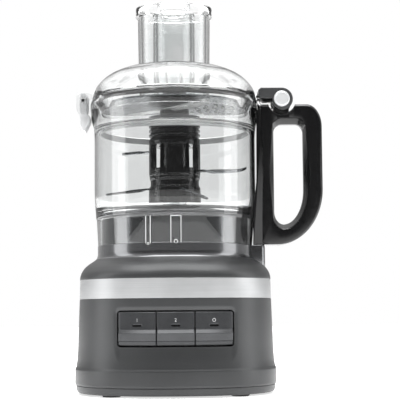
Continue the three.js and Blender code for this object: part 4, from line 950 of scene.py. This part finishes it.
def latchPart():
    # the lever's side view carried across, with a facet for the finger at its foot
    x, z = latch["x"], latch["z"]
    shape = softened([
        [x - 3.4, z - 25], [x - 0.8, z - 31.4], [x + 2, z - 31.4], [x + 7.2, z - 21], [x + 7.2, z - 16.5],
        [x + 3.7, z - 13.5], [x + 3.7, z + 4], [x + 2, z + 8.4], [x - 2.6, z + 8.4], [x - 3.4, z + 4]],
        [0.8, 0.9, 0.8, 1.5, 1, 1, 1, 1.2, 1.4, 1.2], 5)
    return prismPart(shape, -latch["half"], latch["half"], 1.0)


addPiece("latch_face", [latchPart()], silverPlastic, "latch", ["latch_lever"])
print("lid, handle and latch made")

# Pushers: an oval cup with a flange round an open tube, and a small round cup hung in that tube.
largeLow, largeHigh = span("large_pusher")
smallLow, smallHigh = span("small_pusher")
pusher = {"bottom": largeLow[2], "top": largeHigh[2], "middle": 345, "footHalfWidth": 34.2,
          "neckHalfWidth": 35.5, "flangeHalfWidth": 40.6, "flangeHeight": 10, "wall": 2, "innerRadius": 20.5,
          "tubeTop": lid["tubeTop"] + 3, "smallRadius": 19.8}


def largePusherPart():
    # oval rows up the outside, over the flange and down inside, then round rows over the small pusher's tube
    angles = fullTurn
    bottom, middle, top, tubeTop = pusher["bottom"], pusher["middle"], pusher["top"], pusher["tubeTop"]
    foot, neck, flange = pusher["footHalfWidth"], pusher["neckHalfWidth"], pusher["flangeHalfWidth"]
    flangeLow = top - pusher["flangeHeight"]
    oval = [
        (foot - 0.8, bottom), (foot, bottom + 0.9), (foot + 0.45 * (neck - foot), middle),
        (neck, flangeLow - 0.8), (neck + 0.8, flangeLow), (flange - 0.8, flangeLow), (flange, flangeLow + 0.8),
        (flange, top - 2.2), (flange - 0.4, top - 0.9), (flange - 1.6, top - 0.1), (flange - 2.2, top),
        (36.0, top), (35.0, top - 0.8), (33.6, top - 4.4), (33.4, top - 8), (32.8, middle), (32.3, bottom + 6),
        (31.6, bottom + 3.6), (30, bottom + 2.4)]
    inner, outer = pusher["innerRadius"], pusher["innerRadius"] + pusher["wall"]
    tube = [
        (outer + 1.2, bottom + 2.4), (outer, bottom + 3.6), (outer, tubeTop - 0.7), (outer - 0.5, tubeTop),
        (inner + 0.5, tubeTop), (inner, tubeTop - 0.7), (inner, bottom + 0.7), (inner + 0.6, bottom)]
    rows = []
    for halfWidth, z in spaced(oval, 6):
        x, y = tubePlan(halfWidth, angles)
        rows.append(np.stack([x[0], y[0], z + 0 * angles], -1))
    for radius, z in spaced(tube, 6):
        x, y = radius * np.cos(angles), lid["tubeY"] + radius * np.sin(angles)
        rows.append(np.stack([x, y, z + 0 * angles], -1))
    return gridPart(np.array(rows))


addPiece("large_pusher_cup", [largePusherPart()], clearLidPlastic, "large_pusher",
         ["large_pusher"], sharp=40)
capLow, smallRadius = pusher["tubeTop"] + 0.3, pusher["smallRadius"]
smallBottom, smallTop = smallLow[2], smallHigh[2]
smallProfile = softened([
    [0, smallBottom], [smallRadius - 1.2, smallBottom], [smallRadius - 0.4, smallBottom + 1.2],
    [smallRadius, capLow], [23.8, capLow], [23.8, capLow + 2], [18.2, capLow + 2.7], [17, smallTop - 1],
    [16.2, smallTop], [15.2, smallTop], [14.6, capLow + 2], [17.6, capLow - 3], [17.2, smallBottom + 3],
    [16.4, smallBottom + 2.2], [0, smallBottom + 2.2]],
    [0, 0.8, 0.8, 0.3, 0.5, 0.5, 1.2, 0.4, 0.4, 0.4, 1.5, 1.5, 0.8, 0.6, 0], closed=False)
smallPusher = turnedPart(spaced(smallProfile, 6), fullTurn[::2], (0, lid["tubeY"]))
addPiece("small_pusher_cup", [smallPusher], clearLidPlastic, "small_pusher",
         ["small_pusher"], sharp=40)

# Drive stem, blade hub, blades and disc.
stemLow, stemHigh = span("drive_stem")
hubLow, hubHigh = span("blade_hub")
discLow, discHigh = span("disc_plate")
discHubLow, discHubHigh = span("disc_hub")
chimneyTop = bowl["bottom"] + bowl["chimneyHeight"]
stemShoulder = discLow[2] - 9.4
stemTop = stemHigh[2] - 8
stemProfile = softened([
    [0, chimneyTop + 17.5], [7.3, chimneyTop + 17.5], [7.3, chimneyTop + 1.5], [12.7, chimneyTop + 1.5],
    [12.7, stemLow[2]], [15.2, stemLow[2]], [15.2, stemLow[2] + 50], [14.4, stemShoulder], [12, stemShoulder],
    [12, stemTop - 1], [11, stemTop], [4.2, stemTop], [4.2, stemTop + 7], [3.2, stemTop + 8],
    [0, stemTop + 8]], [0, 0.2, 0.2, 0.3, 0.3, 0.5, 3, 0.5, 0.4, 0.6, 0.6, 0.5, 0.6, 0.6, 0], closed=False)
addPiece("stem_sleeve", [turnedPart(stemProfile, fullTurn[::2])], glossBlackPlastic, "blades",
         ["drive_stem"])

hub = {"inner": 15.9, "outer": 26.4, "cageBottom": hubLow[2] + 41, "cageTop": hubLow[2] + 65,
       "postInner": 20.6, "postHalf": 11}


def hubParts():
    # a turned foot and a turned collar with grooves, joined by two posts that leave the cage's windows open
    b, t, outer, inner = hubLow[2], hub["cageTop"], hub["outer"], hub["inner"]
    lower = softened([
        [inner, b], [outer + 0.5, b], [outer + 0.3, b + 4], [outer, b + 21], [outer - 1.5, b + 24],
        [outer - 1.6, b + 29], [outer - 0.6, b + 31], [outer - 0.6, b + 33.4], [outer, b + 34.6],
        [outer, b + 41], [inner, b + 41]], [0.3, 0.6, 1, 1.5, 1, 1, 0.6, 0.4, 0.4, 0.8, 0.3])
    grooves = []
    for z in (t + 6.5, t + 11.5, t + 16.5):
        grooves += [[outer, z], [outer - 1.5, z + 0.8], [outer - 1.5, z + 2.2], [outer, z + 3]]
    collar = softened([[inner, t], [outer, t], [outer, t + 6], *grooves, [outer, hubHigh[2] - 1.2],
                       [outer - 1.2, hubHigh[2]], [inner, hubHigh[2]]], 0.4)
    spread = math.asin(hub["postHalf"] / outer)
    parts = [turnedPart(lower, fullTurn[::2]), turnedPart(collar, fullTurn[::2])]
    for turn in (0, math.pi):
        sweep = np.linspace(turn - spread, turn + spread, 14)
        far = np.stack([outer * np.cos(sweep), outer * np.sin(sweep)], -1)
        near = np.stack([hub["postInner"] * np.cos(sweep[::-1]), hub["postInner"] * np.sin(sweep[::-1])], -1)
        parts.append(prismPart(np.vstack([far, near]), hub["cageBottom"] - 0.4, t + 0.4, 0.02, upright=True))
    return parts


addPiece("blade_hub_sleeve", hubParts(), glossBlackPlastic, "blades", ["blade_hub"])

# Each blade: direction in degrees from +X, height, tip reach, rise and sweep along it, lift of its tip, and
# twist in degrees.
blades = {
    "blade_lower_left": (168, hubLow[2] + 20.5, 70, -6, 12, 0, 9),
    "blade_lower_front": (288, hubLow[2] + 17, 66, -12, 12, 0, -34),
    "blade_upper_right": (352, hubLow[2] + 38.6, 73.5, 0.6, 10, 3, 20),
    "blade_upper_left": (192, hub["cageTop"] - 7, 56, -3.4, 9, 0, -15),
}


def bladePart(turn, height, reach, rise, sweep, tipLift, twist):
    # a curved arm: its middle line goes sideways with the square of the distance, its section is ground to
    # one edge and turned about that line by the twist, so that the flat shows from the front
    root = hub["outer"] - 5.4
    r = np.linspace(root, reach, 40)[:, None]
    along = (r - root) / (reach - root)
    share = np.clip((r - hub["outer"] - 3) / (reach - hub["outer"] - 3), 0, 1)
    taper = 6.4 - 3.6 * np.clip((r - hub["outer"]) / (reach - hub["outer"]), 0, 1) ** 2
    half = taper * np.sqrt(np.clip(1.02 - along ** 14, 0.02, 1))
    section = np.array([[-1, -1.2], [0.45, -1.2], [1, -0.12], [1, 0.14], [0.35, 1.2], [-0.92, 1.2],
                        [-1, 1.0]])
    lean = np.radians(twist) * smooth(share, 0, 0.25)
    across, up = half * section[:, 0], section[:, 1] + 0 * r
    x = r + 0 * across
    y = sweep * along ** 2 + across * np.cos(lean) - up * np.sin(lean)
    z = rise * share + tipLift * share ** 8 + across * np.sin(lean) + up * np.cos(lean)
    c, s = math.cos(math.radians(turn)), math.sin(math.radians(turn))
    return gridPart(np.stack([c * x - s * y, s * x + c * y, z + height], -1), loop=False, caps=True)


for name, shape in blades.items():
    addPiece(name.replace("blade", "cutting_blade"), [bladePart(*shape)], groundSteel, "blades",
             [name], sharp=20)

# The rings of teeth are pairs of a radius and a count; the slicing edge runs between two points in plan.
disc = {"radius": 72.2, "bottom": discLow[2], "top": discHigh[2], "hole": 15.3, "teethFrom": -72,
        "teethSpan": 132, "rings": ((28, 5), (37, 6), (46, 7), (55, 8), (64, 9)),
        "edgeStart": (-47.0, 31.0), "edgeEnd": (31.0, -60.0)}


def discPlatePart():
    # a flat ring with a rounded rim
    b, t, r, hole = disc["bottom"], disc["top"], disc["radius"], disc["hole"]
    profile = softened([[hole, b], [66, b], [67.5, b], [r, b], [r, t], [hole, t]],
                       [0.1, 0.1, 0.1, 0.5, 0.5, 0.1])
    return turnedPart(spaced(np.vstack([profile, profile[:1]]), 6)[:-1], fullTurn)


def toothPart(x, y, turn):
    # a pressed scoop under the disc: a quarter ellipsoid, open side towards the cut
    u = np.linspace(0, math.pi / 2, 5)[:, None]
    v = np.linspace(0, math.pi, 9)
    cup = np.stack([2.9 * np.cos(v) + 0 * u, 3.6 * np.cos(u) * np.sin(v), -2.2 * np.sin(u) * np.sin(v)], -1)
    c, s = math.cos(turn), math.sin(turn)
    px = c * cup[..., 0] - s * cup[..., 1] + x
    py = s * cup[..., 0] + c * cup[..., 1] + y
    points = np.stack([px, py, cup[..., 2] + disc["bottom"] + 0.1], -1).reshape(-1, 3)
    index = np.arange(45).reshape(5, 9)
    quads = np.stack([index[:-1, :-1], index[:-1, 1:], index[1:, 1:], index[1:, :-1]], -1)
    faces = quads.reshape(-1, 4).tolist()
    faces += [index[0, ::-1].tolist(), index[4].tolist()]
    return points, faces


def teethParts():
    # rings of teeth over part of the turn, every other ring shifted by half a pitch
    parts = []
    for ringRadius, count in disc["rings"]:
        for i in range(count):
            turn = math.radians(disc["teethFrom"] + disc["teethSpan"] * (i + 0.5 * (count % 2)) / count)
            x, y = ringRadius * math.cos(turn), ringRadius * math.sin(turn)
            parts.append(toothPart(x, y, turn + math.pi / 2))
    return parts


def slicerPart():
    # a straight slicing blade beside the hub: a bar between two points, its front edge 3 mm off the disc
    section = np.array([[-3.5, 0.1], [3.2, 0.1], [6.2, -3.2], [5.6, -3.5], [2.4, -0.7], [-3.5, -0.7]])
    start = np.array(disc["edgeStart"])
    reach = disc["edgeEnd"] - start
    along = reach / np.hypot(*reach)
    t = np.linspace(0, 1, 24)[:, None]
    x = start[0] + reach[0] * t - along[1] * section[:, 0]
    y = start[1] + reach[1] * t + along[0] * section[:, 0]
    return gridPart(np.stack([x, y, section[:, 1] + disc["bottom"] + 0 * x], -1), loop=False, caps=True)


addPiece("slicing_disc", [discPlatePart()], discSteel, "blades", ["disc_plate"], sharp=25)
# The slicing edge and teeth take the near-white steel: painted glints.
addPiece("shredding_teeth", [slicerPart(), *teethParts()], steelWithPaintedGlints, "blades", sharp=25)
hubFlange = disc["top"] + 0.3
discHubProfile = softened([
    [12.3, discHubLow[2]], [15, discHubLow[2]], [15, hubFlange], [24, hubFlange], [23, hubFlange + 2],
    [14.4, discHubHigh[2]], [12.3, discHubHigh[2]]], 0.5)
addPiece("disc_collar", [turnedPart(discHubProfile, fullTurn[::2])], glossBlackPlastic, "blades",
         ["disc_hub"])
print("pushers, blades and disc made")

# Nodes kept as they are take these finishes.
kept = {
    satinCharcoalPlastic: ["bottom_cover"],
    mattRubber: ["foot_1", "foot_2", "foot_3", "foot_4", "drive_belt"],
    glossBlackPlastic: ["cord_inlet", "key_switch_1", "key_switch_2", "key_switch_pulse", "interlock_switch",
                        "brush_holder_front", "brush_holder_rear", "cooling_fan", "spindle_pulley"],
    polishedSteel: ["base_screw_1", "base_screw_2", "base_screw_3", "base_screw_4", "handle_screw_1",
                    "handle_screw_2", "spindle", "spindle_bearing_lower", "spindle_bearing_upper",
                    "rotor_shaft", "motor_pulley"],
    silverPlastic: ["latch_pin"],
    castMetal: ["chassis", "motor_stator", "armature"],
    enamelledCopper: ["field_winding_left", "field_winding_right", "commutator"],
    greenBoard: ["control_board"],
}
for finish, names in kept.items():
    for name in names:
        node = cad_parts[name]
        for slot in node.material_slots:
            slot.material = finish
print("kept nodes finished")

# Studio: a white floor, two tall side lamps, one overhead, and a white sweep behind.
studio = {"floorSize": 14, "sideDistance": 1.5, "sideAngle": 86, "sideWidth": 0.7, "sideHeight": 1.5,
          "sideRadiance": 2.4, "topHeight": 1.7, "topSize": 1.5, "topRadiance": 4.6, "frontWorld": 0.1,
          "backWorld": 0.45, "highWorld": 0.9}
floorMaterial = makeFinish({
    "name": "matt_white_backdrop_paper", "dark": "#f4f4f4", "light": "#f8f8f8", "patchSize": 400,
    "grainSize": 2, "streaks": 0.01, "roughness": (0.8, 0.9), "relief": 0.01,
    "shader": {"IOR": 1.4, "Emission Color": (1, 1, 1, 1), "Emission Strength": 0.62},
})
floorMesh = bpy.data.meshes.new("studio_floor")
half = studio["floorSize"] / 2
floorCorners = [(-half, -half, 0), (half, -half, 0), (half, half, 0), (-half, half, 0)]
floorMesh.from_pydata(floorCorners, [], [(0, 1, 2, 3)])
floorMesh.materials.append(floorMaterial)
floor = bpy.data.objects.new("studio_floor", floorMesh)
bpy.context.scene.collection.objects.link(floor)


def addLamp(name, place, aim, width, height, radiance):
    # an area lamp gives off radiance x pi x its area
    lamp = bpy.data.lights.new(name, "AREA")
    lamp.shape = "RECTANGLE"
    lamp.size, lamp.size_y = width, height
    lamp.energy = radiance * math.pi * width * height
    holder = bpy.data.objects.new(name, lamp)
    holder.location = place
    direction = np.array(aim, float) - np.array(place, float)
    holder.rotation_euler = Vector(direction).to_track_quat("-Z", "Y").to_euler()
    bpy.context.scene.collection.objects.link(holder)


centreX = axisX / 1000
turn, distance = math.radians(studio["sideAngle"]), studio["sideDistance"]
for label, side in (("left", -1), ("right", 1)):
    place = (centreX + side * distance * math.sin(turn), -distance * math.cos(turn), 0.55)
    addLamp(f"side_lamp_{label}", place, (centreX, 0, 0.35), studio["sideWidth"], studio["sideHeight"],
            studio["sideRadiance"])
topSize = studio["topSize"]
addLamp("top_lamp", (centreX, -0.1, studio["topHeight"]), (centreX, 0, 0), topSize, topSize,
        studio["topRadiance"])

# The world is bright where it is seen straight or through clear plastic, dim in reflections and as a light.
world = bpy.data.worlds.new("studio_world")
bpy.context.scene.world = world
world.use_nodes = True
sky = world.node_tree
sky.nodes.clear()
path = addNode(sky, "LightPath")
direction = addNode(sky, "SeparateXYZ", {}, {0: addNode(sky, "TexCoord").outputs["Generated"]})
towards = addNode(sky, "MapRange", {"From Min": -0.6, "From Max": 0.8, "To Min": studio["frontWorld"],
                                    "To Max": studio["backWorld"]}, {"Value": direction.outputs["Y"]})
above = addNode(sky, "MapRange", {"From Min": 0.35, "From Max": 0.8, "To Min": 0.0,
                                  "To Max": studio["highWorld"]}, {"Value": direction.outputs["Z"]})
dim = addNode(sky, "Math", {"operation": "ADD"}, {0: towards.outputs[0], 1: above.outputs[0]})
straight = addNode(sky, "Math", {"operation": "MAXIMUM"}, {0: path.outputs["Is Camera Ray"],
                                                           1: path.outputs["Is Transmission Ray"]})
once = addNode(sky, "Math", {"operation": "LESS_THAN", 1: 0.5}, {0: path.outputs["Glossy Depth"]})
seen = addNode(sky, "Math", {"operation": "MULTIPLY"}, {0: straight.outputs[0], 1: once.outputs[0]})
strength = addNode(sky, "Mix", {3: 1.0}, {0: seen.outputs[0], 2: dim.outputs[0]})
background = addNode(sky, "Background", {"Color": (1, 1, 1, 1)}, {"Strength": strength.outputs[0]})
addNode(sky, "OutputWorld", {}, {"Surface": background.outputs[0]})

scene = bpy.context.scene
scene.view_settings.view_transform = "Standard"
layersOfPlastic = 40  # light crosses many clear walls on its way through bowl, lid and pushers
scene.cycles.max_bounces = layersOfPlastic
scene.cycles.transmission_bounces = layersOfPlastic
scene.cycles.transparent_max_bounces = layersOfPlastic

# Camera: lens in millimetres, place in metres, angles in degrees; it stands low and looks slightly up.
view = {"lens": 116.3755, "distance": 1.32404, "height": 0.07895, "yaw": -1.116, "tilt": 5.038, "roll": -0.45}
cameraData = bpy.data.cameras.new("studio_camera")
cameraData.sensor_width = 36
cameraData.lens = view["lens"]
cameraData.clip_end = 50
camera = bpy.data.objects.new("studio_camera", cameraData)
camera.location = (centreX, -view["distance"], view["height"])
yaw, tilt, roll = np.radians([view["yaw"], 90 + view["tilt"], view["roll"]]).tolist()
turned = Matrix.Rotation(yaw, 3, "Z") @ Matrix.Rotation(tilt, 3, "X") @ Matrix.Rotation(roll, 3, "Z")
camera.rotation_euler = turned.to_euler()
scene.collection.objects.link(camera)
scene.camera = camera
print("studio made")
